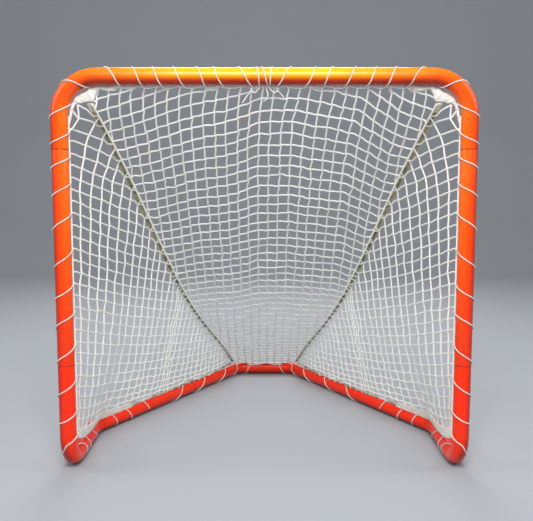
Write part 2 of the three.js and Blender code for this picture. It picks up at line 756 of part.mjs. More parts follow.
// The cloth cuff on the inner side of the side net, from the post round the foot bend and on to the rail
const cuffClear = borderLacingReach + lacingRadius;
const cuffStartShare = 0.25; // of the foot bend
const cuffSteps = 14;
function footCuff() {
  const from = mix(footBend.from, footBend.to, cuffStartShare);
  const to = baseBend.to + cuffReachAlongRail;
  const rings = Array.from({ length: cuffSteps + 1 }, (_, i) => {
    const lower = beside(baseRoute, mix(from, to, i / cuffSteps), cuffClear, -Math.PI / 2);
    const upper = lower.clone();
    upper.z += mix(cuffHeight, cuffEndHeight, i / cuffSteps);
    const outer = [lower, upper].map(({ y, z }) => {
      const place = sidePlace(y, z);
      place.x += strandRadius + seatGap;
      return place;
    });
    const inner = outer.map((place) => place.clone().setX(place.x + cuffThickness));
    return [inner[0], outer[0], outer[1], inner[1]];
  });
  return ringGeometry(rings, true);
}

// The binding along the rear edge of the back net, on its inner side
function rearBinding() {
  const edge = vec(0, rearEdgeY, rearEdgeZ);
  const aheadY = rearEdgeY - bindingLift - bindingHeight;
  const ahead = vec(0, aheadY, backHeight(0, aheadY));
  const along = ahead.clone().sub(edge).normalize();
  const inward = vec(1, 0, 0).cross(along);
  const across = bindingLift + bindingHeight / 2;
  const inwards = strandRadius / 2 + seatGap + bindingThickness / 2;
  const middle = edge.clone().addScaledVector(along, across).addScaledVector(inward, inwards);
  const ends = [-bindingHalfWidth, bindingHalfWidth].map((x) =>
    strapRing(middle.clone().setX(x), along, inward, bindingHeight, bindingThickness),
  );
  return ringGeometry(ends, true);
}

// A cord wound round a tube. The marks pair a distance along the route with the turn reached there.
const stepAngle = (2 * Math.PI) / turnSteps;
function windCord(route, marks, hand, edgeAngleAt) {
  const path = [];
  const lastTurn = marks[marks.length - 1][1];
  const firstTurn = (Math.ceil(marks[0][1] / stepAngle - 0.5) + 0.5) * stepAngle;
  for (let turn = firstTurn; turn < lastTurn; turn += stepAngle) {
    const after = marks.findIndex((mark) => mark[1] > turn);
    const [[fromPlace, fromTurn], [toPlace, toTurn]] = [marks[after - 1], marks[after]];
    const distance = mix(fromPlace, toPlace, (turn - fromTurn) / (toTurn - fromTurn));
    const angle = hand * turn;
    const run = ((toPlace - fromPlace) * stepAngle) / (toTurn - fromTurn);
    const { centre, radius } = route.pieceAt(distance);
    const cutCorner = centre ? radius * (1 - Math.cos(run / radius / 2)) : 0;
    const atEdge = Math.cos(angle - edgeAngleAt(distance)) > Math.cos(halfStep / 2);
    const reach = (atEdge ? borderLacingReach : lacingReach) + cutCorner;
    const point = beside(route, distance, reach, angle);
    path.push({ point, outward: point.clone().sub(route.at(distance).point).normalize() });
  }
  return path;
}

// Straight ends one diameter long
function withEnds(path) {
  const end = (place, inner) => {
    const away = place.point.clone().sub(inner.point).normalize();
    return { point: place.point.clone().addScaledVector(away, lacingDiameter), outward: place.outward };
  };
  const last = path.length - 1;
  return [end(path[0], path[1]), ...path, end(path[last], path[last - 1])];
}

function cordGeometry(path) {
  const rings = path.map(({ point, outward }, i) => {
    const before = path[i - 1]?.point;
    const after = path[i + 1]?.point;
    const arriving = before ? point.clone().sub(before).normalize() : after.clone().sub(point).normalize();
    const leaving = after ? after.clone().sub(point).normalize() : arriving;
    const along = arriving.clone().add(leaving).normalize();
    const up = outward.clone().projectOnPlane(along).normalize();
    const across = along.clone().cross(up);
    const stretch = 1 / arriving.dot(along);
    return Array.from({ length: cordSides }, (_, k) => {
      const turn = ((k + 0.5) * 2 * Math.PI) / cordSides;
      const corner = point.clone().addScaledVector(across, lacingRadius * Math.sin(turn));
      return corner.addScaledVector(up, lacingRadius * Math.cos(turn) * stretch);
    });
  });
  return ringGeometry(rings, true);
}

// The smallest gap between two loops of a cord, measured between points along its middle
function leastGap(path) {
  const points = [];
  let walked = 0;
  path.slice(1).forEach(({ point }, i) => {
    const start = path[i].point;
    const run = start.distanceTo(point);
    const parts = Math.ceil(run / lacingDiameter);
    for (let k = 0; k < parts; k++)
      points.push({ point: start.clone().lerp(point, k / parts), walked: walked + (run * k) / parts });
    walked += run;
  });
  const halfTurn = Math.PI * lacingReach;
  let least = Infinity;
  points.forEach((one, i) => {
    for (const other of points.slice(i + 1))
      if (other.walked - one.walked > halfTurn) least = Math.min(least, one.point.distanceTo(other.point));
  });
  return least - lacingDiameter;
}

// The ground takes a thin flat off the cords that the base rests on.
function pressedFlat(geometry) {
  const span = 2 * frameDepth;
  const ground = new THREE.BoxGeometry(span, span, tubeOuter).translate(0, frameDepth / 2, -tubeRadius);
  return fromSolid(toSolid(geometry).subtract(toSolid(ground)));
}

// Where the cords cross the front of the post and the crossbar and the inner side of the base
const postCrossingShares = [
  0.934, 0.865, 0.807, 0.739, 0.659, 0.561, 0.476, 0.407, 0.316, 0.225, 0.145, 0.085,
];
const stubCrossingShares = [0.132, 0.303, 0.61];
const frontRailCrossingShares = [0.069, 0.155, 0.27];
const rearRailCrossingShares = [0.54, 0.717, 0.9, 1.01];
const rearBarCrossingShare = 0.5;
const cornerCrossingShare = 0.63;
const barCrossingShares = [0.755, 0.638, 0.543, 0.435, 0.317, 0.241, 0.1, 0.03];

const fullTurn = 2 * Math.PI;
function extended(marks, turnsBefore, turnsAfter) {
  const [first, second] = marks;
  const [previous, last] = marks.slice(-2);
  const start = [mix(first[0], second[0], -turnsBefore), first[1] - turnsBefore * fullTurn];
  const end = [mix(last[0], previous[0], -turnsAfter), last[1] + turnsAfter * fullTurn];
  return [start, ...marks, end];
}

function postLacingPath() {
  const turnAt = (i) => fullTurn * (i + 0.25);
  const loops = postCrossingShares.map((share, i) => [onPost(share * openingHeight), turnAt(i)]);
  const onStub = stubCrossingShares.map((share) => mix(footBend.to, baseBend.from, share));
  const onRail = frontRailCrossingShares.map((share) => mix(baseBend.to, rearBend.from, share));
  [...onStub, ...onRail].forEach((place, i) => loops.push([place, fullTurn * (loops.length - 0.125)]));
  return withEnds(windCord(baseRoute, extended(loops, 0.1, 0.2), 1, edgeAngle));
}

function rearLacingPath() {
  const places = rearRailCrossingShares.map((share) => mix(baseBend.to, rearBend.from, share));
  places.push(baseMiddle - rearBarCrossingShare * rearBarHalf);
  const loops = places.map((place, i) => [place, fullTurn * (i + 0.125)]);
  return withEnds(windCord(baseRoute, extended(loops, 0.5, 0.5), -1, edgeAngle));
}

function crossbarLacingPath() {
  const topBend = barRoute.pieces.find((piece) => piece.centre);
  const places = barCrossingShares.map((share) => barMiddle - (share * openingWidth) / 2);
  places.unshift(mix(topBend.from, topBend.to, cornerCrossingShare));
  const loops = places.map((place, i) => [place, fullTurn * i]);
  const path = windCord(barRoute, extended(loops, 0.4, 0.2), 1, () => Math.PI - barEdgeAngle);
  const tip = path[path.length - 1];
  const hanging = { point: tip.point.clone().setZ(tip.point.z - lacingTail), outward: vec(0, -1, 0) };
  return [...withEnds(path).slice(0, -1), hanging];
}

function addLacing(name, path, underneath) {
  const cord = cordGeometry(path);
  addPair(name, underneath ? pressedFlat(cord) : cord, laceCord);
  console.log(name + ": " + leastGap(path).toFixed(1) + " mm least gap between loops");
}

addFrame();
addPiece("back_net", backNet(), netCord);
addPair("side_net", sideNet(), netCord);
addPair("seam_tape", seamTape(), webbing);
addPair("corner_patch", cornerPatch(), patchCloth);
addPair("foot_cuff", footCuff(), patchCloth);
addPiece("rear_binding", rearBinding(), patchCloth);
addLacing("crossbar_lacing", crossbarLacingPath(), false);
addLacing("post_lacing", postLacingPath(), true);
addLacing("rear_lacing", rearLacingPath(), true);

// The origin is on the ground, under the middle of the goal's bounding box.
const box = new THREE.Box3().setFromObject(goal, true);
const middle = box.getCenter(vec(0, 0, 0));
goal.children.forEach((mesh) => mesh.position.sub(middle.setZ(box.min.z)));

export default goal;
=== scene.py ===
"""A box lacrosse goal: orange powder-coated steel tube, a white corded net, and the cord that laces it on.

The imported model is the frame. X runs along the goal line, +Y goes back into the goal and +Z is up, in metres.
"""

import math

import bmesh
import bpy
import numpy as np
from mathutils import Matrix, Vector


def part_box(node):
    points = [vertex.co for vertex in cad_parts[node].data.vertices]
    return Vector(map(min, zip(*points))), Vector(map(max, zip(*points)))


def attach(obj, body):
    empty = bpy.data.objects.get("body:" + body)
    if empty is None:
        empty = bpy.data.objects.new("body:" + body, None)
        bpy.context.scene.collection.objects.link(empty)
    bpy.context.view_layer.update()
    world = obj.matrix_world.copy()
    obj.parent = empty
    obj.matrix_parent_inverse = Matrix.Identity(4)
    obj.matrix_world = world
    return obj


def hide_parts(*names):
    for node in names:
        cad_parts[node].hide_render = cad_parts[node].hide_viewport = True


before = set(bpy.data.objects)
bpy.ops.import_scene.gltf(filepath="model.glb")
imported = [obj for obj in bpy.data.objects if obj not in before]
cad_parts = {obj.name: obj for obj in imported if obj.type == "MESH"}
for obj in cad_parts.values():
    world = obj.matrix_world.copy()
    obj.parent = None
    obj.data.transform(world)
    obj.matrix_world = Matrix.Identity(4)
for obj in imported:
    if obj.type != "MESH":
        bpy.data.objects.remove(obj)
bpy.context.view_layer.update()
scene = bpy.context.scene

# ----------------------------------------
# The place: a pale studio floor that curves up behind the goal, seen from in front of the mouth.
# The left post gives the goal line, the width and the ground; everything else is set out from them.
post_low, post_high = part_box("left_post")
_, bar_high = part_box("crossbar")
post_x = -(post_low.x + post_high.x) / 2
line_y = (post_low.y + post_high.y) / 2
tube_flat = (post_high.x - post_low.x) / 2
bar_height = bar_high.z - tube_flat

camera_height = 0.958
camera_distance = 2.356
camera_pitch = math.radians(6.35)
focal_pixels = 750
frame_width = 533
sensor_width = 36
centre_shift = 2


def added(name, data):
    """A new object in the scene, at the origin."""
    made = bpy.data.objects.new(name, data)
    scene.collection.objects.link(made)
    return made


camera_data = bpy.data.cameras.new("studio_camera")
camera_data.sensor_fit = "HORIZONTAL"
camera_data.sensor_width = sensor_width
camera_data.lens = focal_pixels / frame_width * sensor_width
camera_data.shift_x = centre_shift / frame_width
camera_data.clip_end = 60
camera = added("studio_camera", camera_data)
camera.location = (0, line_y - camera_distance, camera_height)
camera.rotation_euler = (math.pi / 2 - camera_pitch, 0, 0)
scene.camera = camera
scene.view_settings.view_transform = "Standard"


def mesh_object(name, points, faces):
    """A new object whose places are all in its mesh."""
    mesh = bpy.data.meshes.new(name)
    mesh.from_pydata([tuple(map(float, p)) for p in points], [], [tuple(map(int, f)) for f in faces])
    mesh.shade_smooth()
    return added(name, mesh)


class Shade:
    """Wraps a shader socket, so that maths on it adds the nodes that do it."""

    def __init__(self, maker, socket):
        self.maker = maker
        self.socket = socket

    def maths(self, operation, *others):
        return self.maker.node("ShaderNodeMath", {"operation": operation}, *others)

    def __add__(self, other):
        return self.maths("ADD", self, other)

    def __sub__(self, other):
        return self.maths("SUBTRACT", self, other)

    def __rsub__(self, other):
        return self.maths("SUBTRACT", other, self)

    def __mul__(self, other):
        return self.maths("MULTIPLY", self, other)

    def __abs__(self):
        return self.maths("ABSOLUTE", self)

    def sine(self):
        return self.maths("SINE", self)

    __radd__ = __add__
    __rmul__ = __mul__

    def over(self, low, high):
        """Zero below low, one above high, and smooth between."""
        settings = {"interpolation_type": "SMOOTHSTEP"}
        return self.maker.node("ShaderNodeMapRange", settings, Value=self, **{"From Min": low, "From Max": high})


class Finish:
    """A material and the few ways in which its nodes are made."""

    def __init__(self, name):
        self.material = bpy.data.materials.new(name)
        self.material.use_nodes = True
        self.tree = self.material.node_tree
        self.shader = self.tree.nodes["Principled BSDF"]

    def node(self, kind, settings, *inputs, output=0, **named):
        made = self.tree.nodes.new(kind)
        for key, value in settings.items():
            setattr(made, key, value)
        for key, value in [*enumerate(inputs), *named.items()]:
            self.feed(made.inputs[key], value)
        return Shade(self, made.outputs[output])

    def feed(self, socket, value):
        if isinstance(value, Shade):
            self.tree.links.new(value.socket, socket)
        elif isinstance(value, str):
            socket.default_value = colour(value)
        else:
            socket.default_value = value

    def place(self):
        return self.node("ShaderNodeTexCoord", {}, output="Object")

    def grown(self, name):
        return self.node("ShaderNodeAttribute", {"attribute_name": name}, output="Fac")

    def noise(self, size, detail=2.0, rough=0.5, at=None):
        where = at or self.place()
        return self.node("ShaderNodeTexNoise", {}, Vector=where, Scale=1 / size, Detail=detail, Roughness=rough)

    def mix(self, share, one, two):
        made = self.tree.nodes.new("ShaderNodeMix")
        made.data_type = "RGBA"
        self.feed(made.inputs["Factor"], share)
        self.feed(made.inputs[6], one)
        self.feed(made.inputs[7], two)
        return Shade(self, made.outputs[2])

    def bump(self, height, depth, strength=1.0):
        return self.node("ShaderNodeBump", {}, Height=height, Distance=depth, Strength=strength)

    def set(self, **inputs):
        for key, value in inputs.items():
            self.feed(self.shader.inputs[key.replace("_", " ")], value)
        return self.material


def colour(code):
    """The linear colour of a written one such as ff5a00."""
    parts = [int(code[i : i + 2], 16) / 255 for i in (0, 2, 4)]
    return (*[c / 12.92 if c <= 0.04045 else ((c + 0.055) / 1.055) ** 2.4 for c in parts], 1)


floor_half = 9.0
floor_front = -7.0
wall_back = 4.2
wall_height = 6.0
sweep_radius = 1.6
sweep_steps = 16
sweep = [(floor_front, 0.0)]
for step in range(sweep_steps + 1):
    turn = math.pi / 2 * step / sweep_steps
    sweep.append((wall_back + sweep_radius * math.sin(turn), sweep_radius * (1 - math.cos(turn))))
sweep.append((wall_back + sweep_radius, wall_height))
floor_points = [(side * floor_half, y, z) for y, z in sweep for side in (-1, 1)]
floor_faces = [(2 * i, 2 * i + 1, 2 * i + 3, 2 * i + 2) for i in range(len(sweep) - 1)]
studio_floor = mesh_object("studio_floor", floor_points, floor_faces)
floor_finish = Finish("floor_paper")
studio_floor.data.materials.append(floor_finish.set(Base_Color="a9adb2", Roughness=0.9))

world = bpy.data.worlds.new("studio_world")
world.use_nodes = True
world.node_tree.nodes["Background"].inputs["Color"].default_value = colour("f4f6fa")
world.node_tree.nodes["Background"].inputs["Strength"].default_value = 0.4
scene.world = world


def studio_lamp(name, place, target, size, power):
    data = bpy.data.lights.new(name, "AREA")
    data.shape = "RECTANGLE"
    data.size, data.size_y = size
    data.energy = power
    lamp = added(name, data)
    lamp.location = place
    lamp.rotation_euler = (Vector(target) - Vector(place)).to_track_quat("-Z", "Y").to_euler()


studio_lamp("key_lamp", (0.0, line_y - 3.0, 3.3), (0, line_y + 0.4, 0.7), (1.6, 1.2), 135)
studio_lamp("left_lamp", (-3.4, line_y - 0.6, 2.6), (0, line_y + 0.6, 0.6), (1.6, 2.0), 38)
studio_lamp("right_lamp", (3.4, line_y - 0.6, 2.6), (0, line_y + 0.6, 0.6), (1.6, 2.0), 38)
studio_lamp("back_lamp", (0.0, line_y + 3.4, 3.2), (0, line_y + 0.6, 0.6), (2.4, 1.2), 75)


# ----------------------------------------
# The frame: eight bent or straight pieces of 54 mm steel tube that slip into each other, powder
# coated bright orange. The lower piece at each joint has a reduced neck, and both rims are rounded.
class CentreLine:
    """Straight runs joined by round bends, with a frame that never twists."""

    def __init__(self, corners, radii, first_normal):
        corners = [np.array(corner, float) for corner in corners]
        self.runs = []
        self.length = 0.0
        self.tangent = self.unit(corners[1] - corners[0])
        self.normal = np.array(first_normal, float)
        turned = np.eye(3)
        start = corners[0]
        for i in range(1, len(corners)):
            along = self.unit(corners[i] - corners[i - 1])
            last = i + 1 == len(corners)
            ahead = along if last else self.unit(corners[i + 1] - corners[i])
            angle = math.acos(np.clip(along @ ahead, -1, 1))
            radius = 0 if last else radii[i - 1]
            cut = radius * math.tan(angle / 2)
            end = corners[i] - along * cut
            self.add(np.linalg.norm(end - start), start, along, turned)
            if angle > 1e-6:
                axis = self.unit(np.cross(along, ahead))
                centre = end + np.cross(axis, along) * radius
                self.add(radius * angle, end, along, turned, centre, axis, radius)
                turned = self.turn(axis, angle) @ turned
                start = corners[i] + ahead * cut

    @staticmethod
    def unit(way):
        return way / np.linalg.norm(way)

    @staticmethod
    def turn(axis, angle):
        x, y, z = axis
        cross = np.array([[0, -z, y], [z, 0, -x], [-y, x, 0]])
        return np.eye(3) + math.sin(angle) * cross + (1 - math.cos(angle)) * (cross @ cross)

    def add(self, length, start, along, turned, centre=None, axis=None, radius=0.0):
        run = {"begin": self.length, "end": self.length + length, "start": start, "along": along}
        self.runs.append({**run, "turned": turned, "centre": centre, "axis": axis, "radius": radius})
        self.length += length

    def at(self, distance):
        run = next((run for run in self.runs if distance <= run["end"]), self.runs[-1])
        walked = distance - run["begin"]
        turned = run["turned"]
        if run["radius"]:
            bend = self.turn(run["axis"], walked / run["radius"])
            point = run["centre"] + bend @ (run["start"] - run["centre"])
            turned = bend @ turned
        else:
            point = run["start"] + run["along"] * walked
        tangent = turned @ self.tangent
        normal = turned @ self.normal
        return point, tangent, normal, np.cross(tangent, normal)

    def beside(self, distance, reach, angle):
        point, _, normal, side = self.at(distance)
        return point + (normal * math.cos(angle) + side * math.sin(angle)) * reach

    def bends(self):
        return [run for run in self.runs if run["radius"]]


tube_radius = 0.0265
tube_wall = 0.002
rim_round = 0.0018
neck_length = 0.06
top_bend, foot_bend_radius, base_bend_radius, rear_bend_radius = 0.12, 0.10, 0.06, 0.06
upper_joint_height, lower_joint_height = 1.043, 0.358
goal_depth, rear_half, stub_depth = 1.24, 0.138, 0.37
foot_flat, foot_rise = 0.014, 0.032
foot_centre = tube_flat
rail_low, rail_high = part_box("left_base_rail")
base_centre = (rail_low.z + rail_high.z) / 2
leg_end = bar_height - top_bend

bar_line = CentreLine(
    [
        (-post_x, line_y, upper_joint_height - neck_length),
        (-post_x, line_y, bar_height),
        (post_x, line_y, bar_height),
        (post_x, line_y, upper_joint_height - neck_length),
    ],
    [top_bend, top_bend],
    (0, -1, 0),
)
foot_back = line_y + foot_bend_radius + foot_flat
base_corners = [
    (-post_x, line_y, leg_end),
    (-post_x, line_y, foot_centre),
    (-post_x, foot_back, foot_centre),
    (-post_x, foot_back + foot_rise, base_centre),
    (-post_x, line_y + stub_depth, base_centre),
    (-rear_half, line_y + goal_depth, base_centre),
]
base_radii = [foot_bend_radius, 0, 0, base_bend_radius, rear_bend_radius]
base_line = CentreLine(
    base_corners + [(-x, y, z) for x, y, z in reversed(base_corners)],
    base_radii + base_radii[::-1],
    (1, 0, 0),
)
foot_bend, base_bend, rear_bend = base_line.bends()[:3]
upper_joint = leg_end - upper_joint_height
lower_joint = leg_end - lower_joint_height
front_joint = base_bend["end"] + 0.01
rear_joint = rear_bend["begin"] - 0.01


def paint_finish():
    """Powder coat: a fine orange-peel skin, painted lighter and yellower high up and on faces turned up and inwards as
    painted light, with a painted highlight at the middle of the bar and deep red painted shade beneath, worn at rims
    and scuffed below.
    """
    made = Finish("orange_powder_coat")
    height = made.node("ShaderNodeSeparateXYZ", {}, made.place(), output="Z")
    across = abs(made.node("ShaderNodeSeparateXYZ", {}, made.place(), output="X"))
    # Painted light: the orange turns lighter higher up, and a painted highlight lies across the middle of the bar.
    painted_height_light = height.over(0.2, 1.15)
    painted_bar_highlight = height.over(1.12, 1.27) * (1 - across.over(0.12, 0.62))
    cloudy = made.noise(0.09, 3.0)
    height_lit_orange = made.mix(painted_height_light, "ff2c00", "ff5400")
    # Painted light and shade: lighter on faces turned up and in towards the lamps, and deep red painted shade on faces
    # turned down.
    turned_to_light = made.grown("upward")
    painted_underside_shade = (0 - turned_to_light).over(0.0, 0.85)
    lit = turned_to_light.over(-0.2, 0.75) * painted_height_light
    painted_lit_orange = made.mix(lit * 0.45, height_lit_orange, "ff9000")
    painted_highlight_orange = made.mix(painted_bar_highlight * turned_to_light.over(-0.7, 0.3), painted_lit_orange, "ffc800")
    shaded = made.mix(painted_underside_shade * 0.85, painted_highlight_orange, "8f0c00")
    mottled = made.mix(cloudy.over(0.35, 0.75) * 0.2, shaded, "f04400")
    scratch_place = made.node("ShaderNodeMapping", {}, made.place(), Scale=(60, 60, 9))
    scratch = made.noise(1.0, 4.0, 0.65, scratch_place).over(0.66, 0.72) * (1 - height.over(0.05, 0.45))
    dusty = made.mix(scratch * 0.35, mottled, "b9532f")
    worn = (made.grown("wear") + made.noise(0.006, 3.0) * 0.7).over(1.12, 1.28)
    skin = made.mix(worn, dusty, "7c2a12")
    peel = made.noise(0.0021, 1.0) * 0.6 + made.noise(0.011, 1.0)
    rough = made.noise(0.05, 3.0) * 0.16 + 0.22 + scratch * 0.2 + worn * 0.25
    made.set(Base_Color=skin, Roughness=rough, Normal=made.bump(peel, 0.00016, 0.5))
    return made.set(Coat_Weight=0.12, Coat_Roughness=0.15, Specular_IOR_Level=0.3)


orange_paint = paint_finish()
tube_sides = 56
bend_step = math.radians(4)
rim_steps = 4
neck_play, neck_step = 0.0005, 0.0004
liner = 0.003
worn_reach = 0.006
sharp_angle = math.radians(50)


def tube_stations(line, begin, end):
    """Every distance at which a tube needs a ring: its two ends and closely through each bend."""
    places = [begin]
    for run in line.runs:
        steps = max(1, math.ceil((run["end"] - run["begin"]) / run["radius"] / bend_step)) if run["radius"] else 1
        for i in range(steps + 1):
            place = run["begin"] + (run["end"] - run["begin"]) * i / steps
            if places[-1] + 1e-4 < place < end - 1e-4:
                places.append(place)
    return places + [end]


def grow(piece, name, values):
    """Keeps one number at each point of a piece, for its finish to read."""
    piece.data.attributes.new(name, "FLOAT", "POINT").data.foreach_set("value", values)


def tube_piece(name, line, begin, end, neck_at_begin=False, neck_at_end=False):
    """One hollow tube with rounded rims, and a reduced neck beyond a rim where another tube slips over it."""
    neck = tube_radius - tube_wall - neck_play
    hollow = tube_radius - tube_wall - liner
    quarter = [math.pi / 2 * i / rim_steps for i in range(rim_steps + 1)]
    rim = [(rim_round * (1 - math.cos(t)), tube_radius - rim_round * (1 - math.sin(t))) for t in quarter]
    middle = tube_stations(line, begin, end)[1:-1]
    middle = [place for place in middle if begin + 2 * rim_round < place < end - 2 * rim_round]
    profile = [(begin - neck_length, neck), (begin - neck_step, neck)] if neck_at_begin else []
    profile += [(begin + inset, radius) for inset, radius in rim]
    profile += [(place, tube_radius) for place in middle]
    profile += [(end - inset, radius) for inset, radius in reversed(rim)]
    profile += [(end + neck_step, neck), (end + neck_length, neck)] if neck_at_end else []
    inside = [begin - neck_length * neck_at_begin, *middle, end + neck_length * neck_at_end]
    profile += [(place, hollow) for place in reversed(inside)]
    angles = np.arange(tube_sides) * 2 * math.pi / tube_sides
    points, wear, upward, faces = [], [], [], []
    for distance, radius in profile:
        point, tangent, normal, side = line.at(distance)
        out = np.outer(np.cos(angles), normal) + np.outer(np.sin(angles), side)
        points.extend(point + radius * out)
        near_rim = min(abs(distance - begin), abs(distance - end))
        wear += [max(0.0, 1 - near_rim / worn_reach)] * tube_sides
        # How much each point faces up and, on the upright tubes, in towards the middle: the paint reads it for painted
        # light and painted shade.
        inwards = out[:, 0] * -math.copysign(1, point[0])
        upright = 1 - abs(normal[2]) if abs(tangent[2]) > 0.5 else 0
        upward.extend(out[:, 2] + 0.8 * inwards * upright)
    for i in range(len(profile)):
        a, b = i * tube_sides, (i + 1) % len(profile) * tube_sides
        for k in range(tube_sides):
            n = (k + 1) % tube_sides
            faces.append((a + k, a + n, b + n, b + k))
    piece = mesh_object(name, points, faces)
    grow(piece, "wear", wear)
    grow(piece, "upward", upward)
    piece.data.set_sharp_from_angle(angle=sharp_angle)
    piece.data.materials.append(orange_paint)
    return piece


def settled(piece, slot, *nodes):
    """Ties a piece to the frame: the solids that it replaces and its body. The slot is not used."""
    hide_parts(*nodes)
    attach(piece, "root")
    return piece


def both_sides(left, slot, node):
    """Ties a left-hand piece, and adds its mirror image on the right with the faces turned back outwards."""
    mesh = left.data.copy()
    mesh.name = left.name.replace("left_", "right_")
    shape = bmesh.new()
    shape.from_mesh(mesh)
    for vertex in shape.verts:
        vertex.co.x = -vertex.co.x
    bmesh.ops.reverse_faces(shape, faces=shape.faces)
    shape.to_mesh(mesh)
    shape.free()
    right = added(mesh.name, mesh)
    return settled(left, slot, f"left_{node}"), settled(right, slot, f"right_{node}")


seam_gap = 0.0003
bar_end = bar_line.length - neck_length
crossbar = tube_piece("crossbar_tube", bar_line, neck_length + seam_gap, bar_end - seam_gap)
settled(crossbar, "orange_paint", "crossbar")
rear_bar = tube_piece("rear_bar_tube", base_line, rear_joint, base_line.length - rear_joint, True, True)
settled(rear_bar, "orange_paint", "rear_bar")
for name, begin, end, neck_at_begin, neck_at_end in (
    ("post", upper_joint, lower_joint - seam_gap, True, False),
    ("base_corner", lower_joint, front_joint, True, True),
    ("base_rail", front_joint + seam_gap, rear_joint - seam_gap, False, False),
):
    tube = tube_piece(f"left_{name}_tube", base_line, begin, end, neck_at_begin, neck_at_end)
    both_sides(tube, "orange_paint", name)


# ----------------------------------------
# The joint screws: zinc-plated pan heads with a cross recess, two through each post's back and two
# through each rail's outer side, driven through the outer tube into the neck inside it.
def screw_shape():
    """One screw along -Z, the underside of its head at the origin."""
    sides = 20
    rings = [(-0.011, 0.0004), (-0.008, 0.0021), (0.0, 0.0021), (0.0, 0.0048), (0.0011, 0.0047), (0.0022, 0.0037)]
    shape = bmesh.new()
    loops = []
    for z, radius in rings:
        angles = [2 * math.pi * k / sides for k in range(sides)]
        loops.append([shape.verts.new((radius * math.cos(a), radius * math.sin(a), z)) for a in angles])
    shape.faces.new(reversed(loops[0]))
    for low, high in zip(loops, loops[1:]):
        for k in range(sides):
            n = (k + 1) % sides
            shape.faces.new((low[k], low[n], high[n], high[k]))
    arm, slot_half, depth, top = 0.0022, 0.00045, 0.0013, 0.0027
    cross = []
    for quarter in range(4):
        turned = CentreLine.turn((0, 0, 1), quarter * math.pi / 2)
        for x, y in ((slot_half, -slot_half), (arm, -slot_half), (arm, slot_half)):
            cross.append(turned @ np.array((x, y, 0)))
    upper = [shape.verts.new((x, y, top)) for x, y, _ in cross]
    lower = [shape.verts.new((x * 0.75, y * 0.75, top - depth)) for x, y, _ in cross]
    count = len(cross)
    rim_edges = [shape.edges.new((upper[k], upper[(k + 1) % count])) for k in range(count)]
    outer_edges = [shape.edges.get((loops[-1][k], loops[-1][(k + 1) % sides])) for k in range(sides)]
    bmesh.ops.triangle_fill(shape, edges=rim_edges + outer_edges, use_beauty=True)
    for k in range(count):
        n = (k + 1) % count
        shape.faces.new((upper[k], lower[k], lower[n], upper[n]))
    shape.faces.new(lower)
    bmesh.ops.recalc_face_normals(shape, faces=shape.faces)
    mesh = bpy.data.meshes.new("pan_head_screw")
    shape.to_mesh(mesh)
    shape.free()
    mesh.shade_smooth()
    mesh.set_sharp_from_angle(angle=math.radians(35))
    return mesh


class Recipe:
    """A Geometry Nodes tree with named inputs, and the few ways in which its nodes are made."""

    def __init__(self, name, **inputs):
        self.tree = bpy.data.node_groups.new(name, "GeometryNodeTree")
        face = self.tree.interface
        face.new_socket("Geometry", in_out="INPUT", socket_type="NodeSocketGeometry")
        face.new_socket("Geometry", in_out="OUTPUT", socket_type="NodeSocketGeometry")
        self.sockets = {}
        for key, kind in inputs.items():
            self.sockets[key] = face.new_socket(key, in_out="INPUT", socket_type="NodeSocket" + kind)
        self.entry = self.tree.nodes.new("NodeGroupInput")
        self.exit = self.tree.nodes.new("NodeGroupOutput")

    def node(self, kind, settings=None, output=0, **named):
        made = self.tree.nodes.new(kind)
        for key, value in (settings or {}).items():
            setattr(made, key, value)
        for key, value in named.items():
            socket = made.inputs[key.replace("_", " ")]
            if isinstance(value, bpy.types.NodeSocket):
                self.tree.links.new(value, socket)
            else:
                socket.default_value = value
        return made.outputs[output]

    def named(self, key):
        return self.entry.outputs[key]

    def stored(self, name, kind="FLOAT"):
        return self.node("GeometryNodeInputNamedAttribute", {"data_type": kind}, Name=name)

    def kept(self, geometry, name, value):
        """Keeps a number at each point of the geometry."""
        settings = {"data_type": "FLOAT", "domain": "POINT"}
        return self.node("GeometryNodeStoreNamedAttribute", settings, Geometry=geometry, Name=name, Value=value)

    def faced(self, name):
        """The turn that brings +Z round to the direction kept at each point."""
        way = self.stored(name, "FLOAT_VECTOR")
        return self.node("FunctionNodeAlignRotationToVector", {"axis": "Z"}, Vector=way)

    def set_on(self, points, thing, turn, **choice):
        """Sets an object on every point of a guide, or on those of the choice."""
        shape = self.node("GeometryNodeObjectInfo", {"transform_space": "ORIGINAL"}, output="Geometry", Object=thing)
        seats = self.node("GeometryNodeMeshToPoints", Mesh=points, **choice)
        return self.node("GeometryNodeInstanceOnPoints", Points=seats, Instance=shape, Rotation=turn)

    def joined(self, *parts):
        made = self.tree.nodes.new("GeometryNodeJoinGeometry")
        for part in parts:
            self.tree.links.new(part, made.inputs[0])
        return made.outputs[0]

    def finish(self, geometry):
        """Ends the tree: instances made real, and the finish put on."""
        real = self.node("GeometryNodeRealizeInstances", Geometry=geometry)
        painted = self.node("GeometryNodeSetMaterial", Geometry=real, Material=self.named("Finish"))
        self.tree.links.new(painted, self.exit.inputs[0])

    def cook(self, name, guide, **values):
        """Runs the tree on a guide mesh and keeps the result as a plain mesh object."""
        modifier = guide.modifiers.new("recipe", "NODES")
        modifier.node_group = self.tree
        for key, value in values.items():
            modifier[self.sockets[key].identifier] = value
        seen = guide.evaluated_get(bpy.context.evaluated_depsgraph_get())
        mesh = bpy.data.meshes.new_from_object(seen)
        guide.modifiers.remove(modifier)
        bpy.data.objects.remove(guide)
        mesh.name = name
        return added(name, mesh)


def guide_object(points, edges=(), **attributes):
    """A mesh of points and edges that a recipe follows, with a number or a direction kept at each point."""
    mesh = bpy.data.meshes.new("guide")
    mesh.from_pydata([tuple(map(float, p)) for p in points], [tuple(map(int, e)) for e in edges], [])
    for key, values in attributes.items():
        values = np.array(values, float)
        kind, slot = ("FLOAT", "value") if values.ndim == 1 else ("FLOAT_VECTOR", "vector")
        mesh.attributes.new(key, kind, "POINT").data.foreach_set(slot, values.ravel())
    return added("guide", mesh)


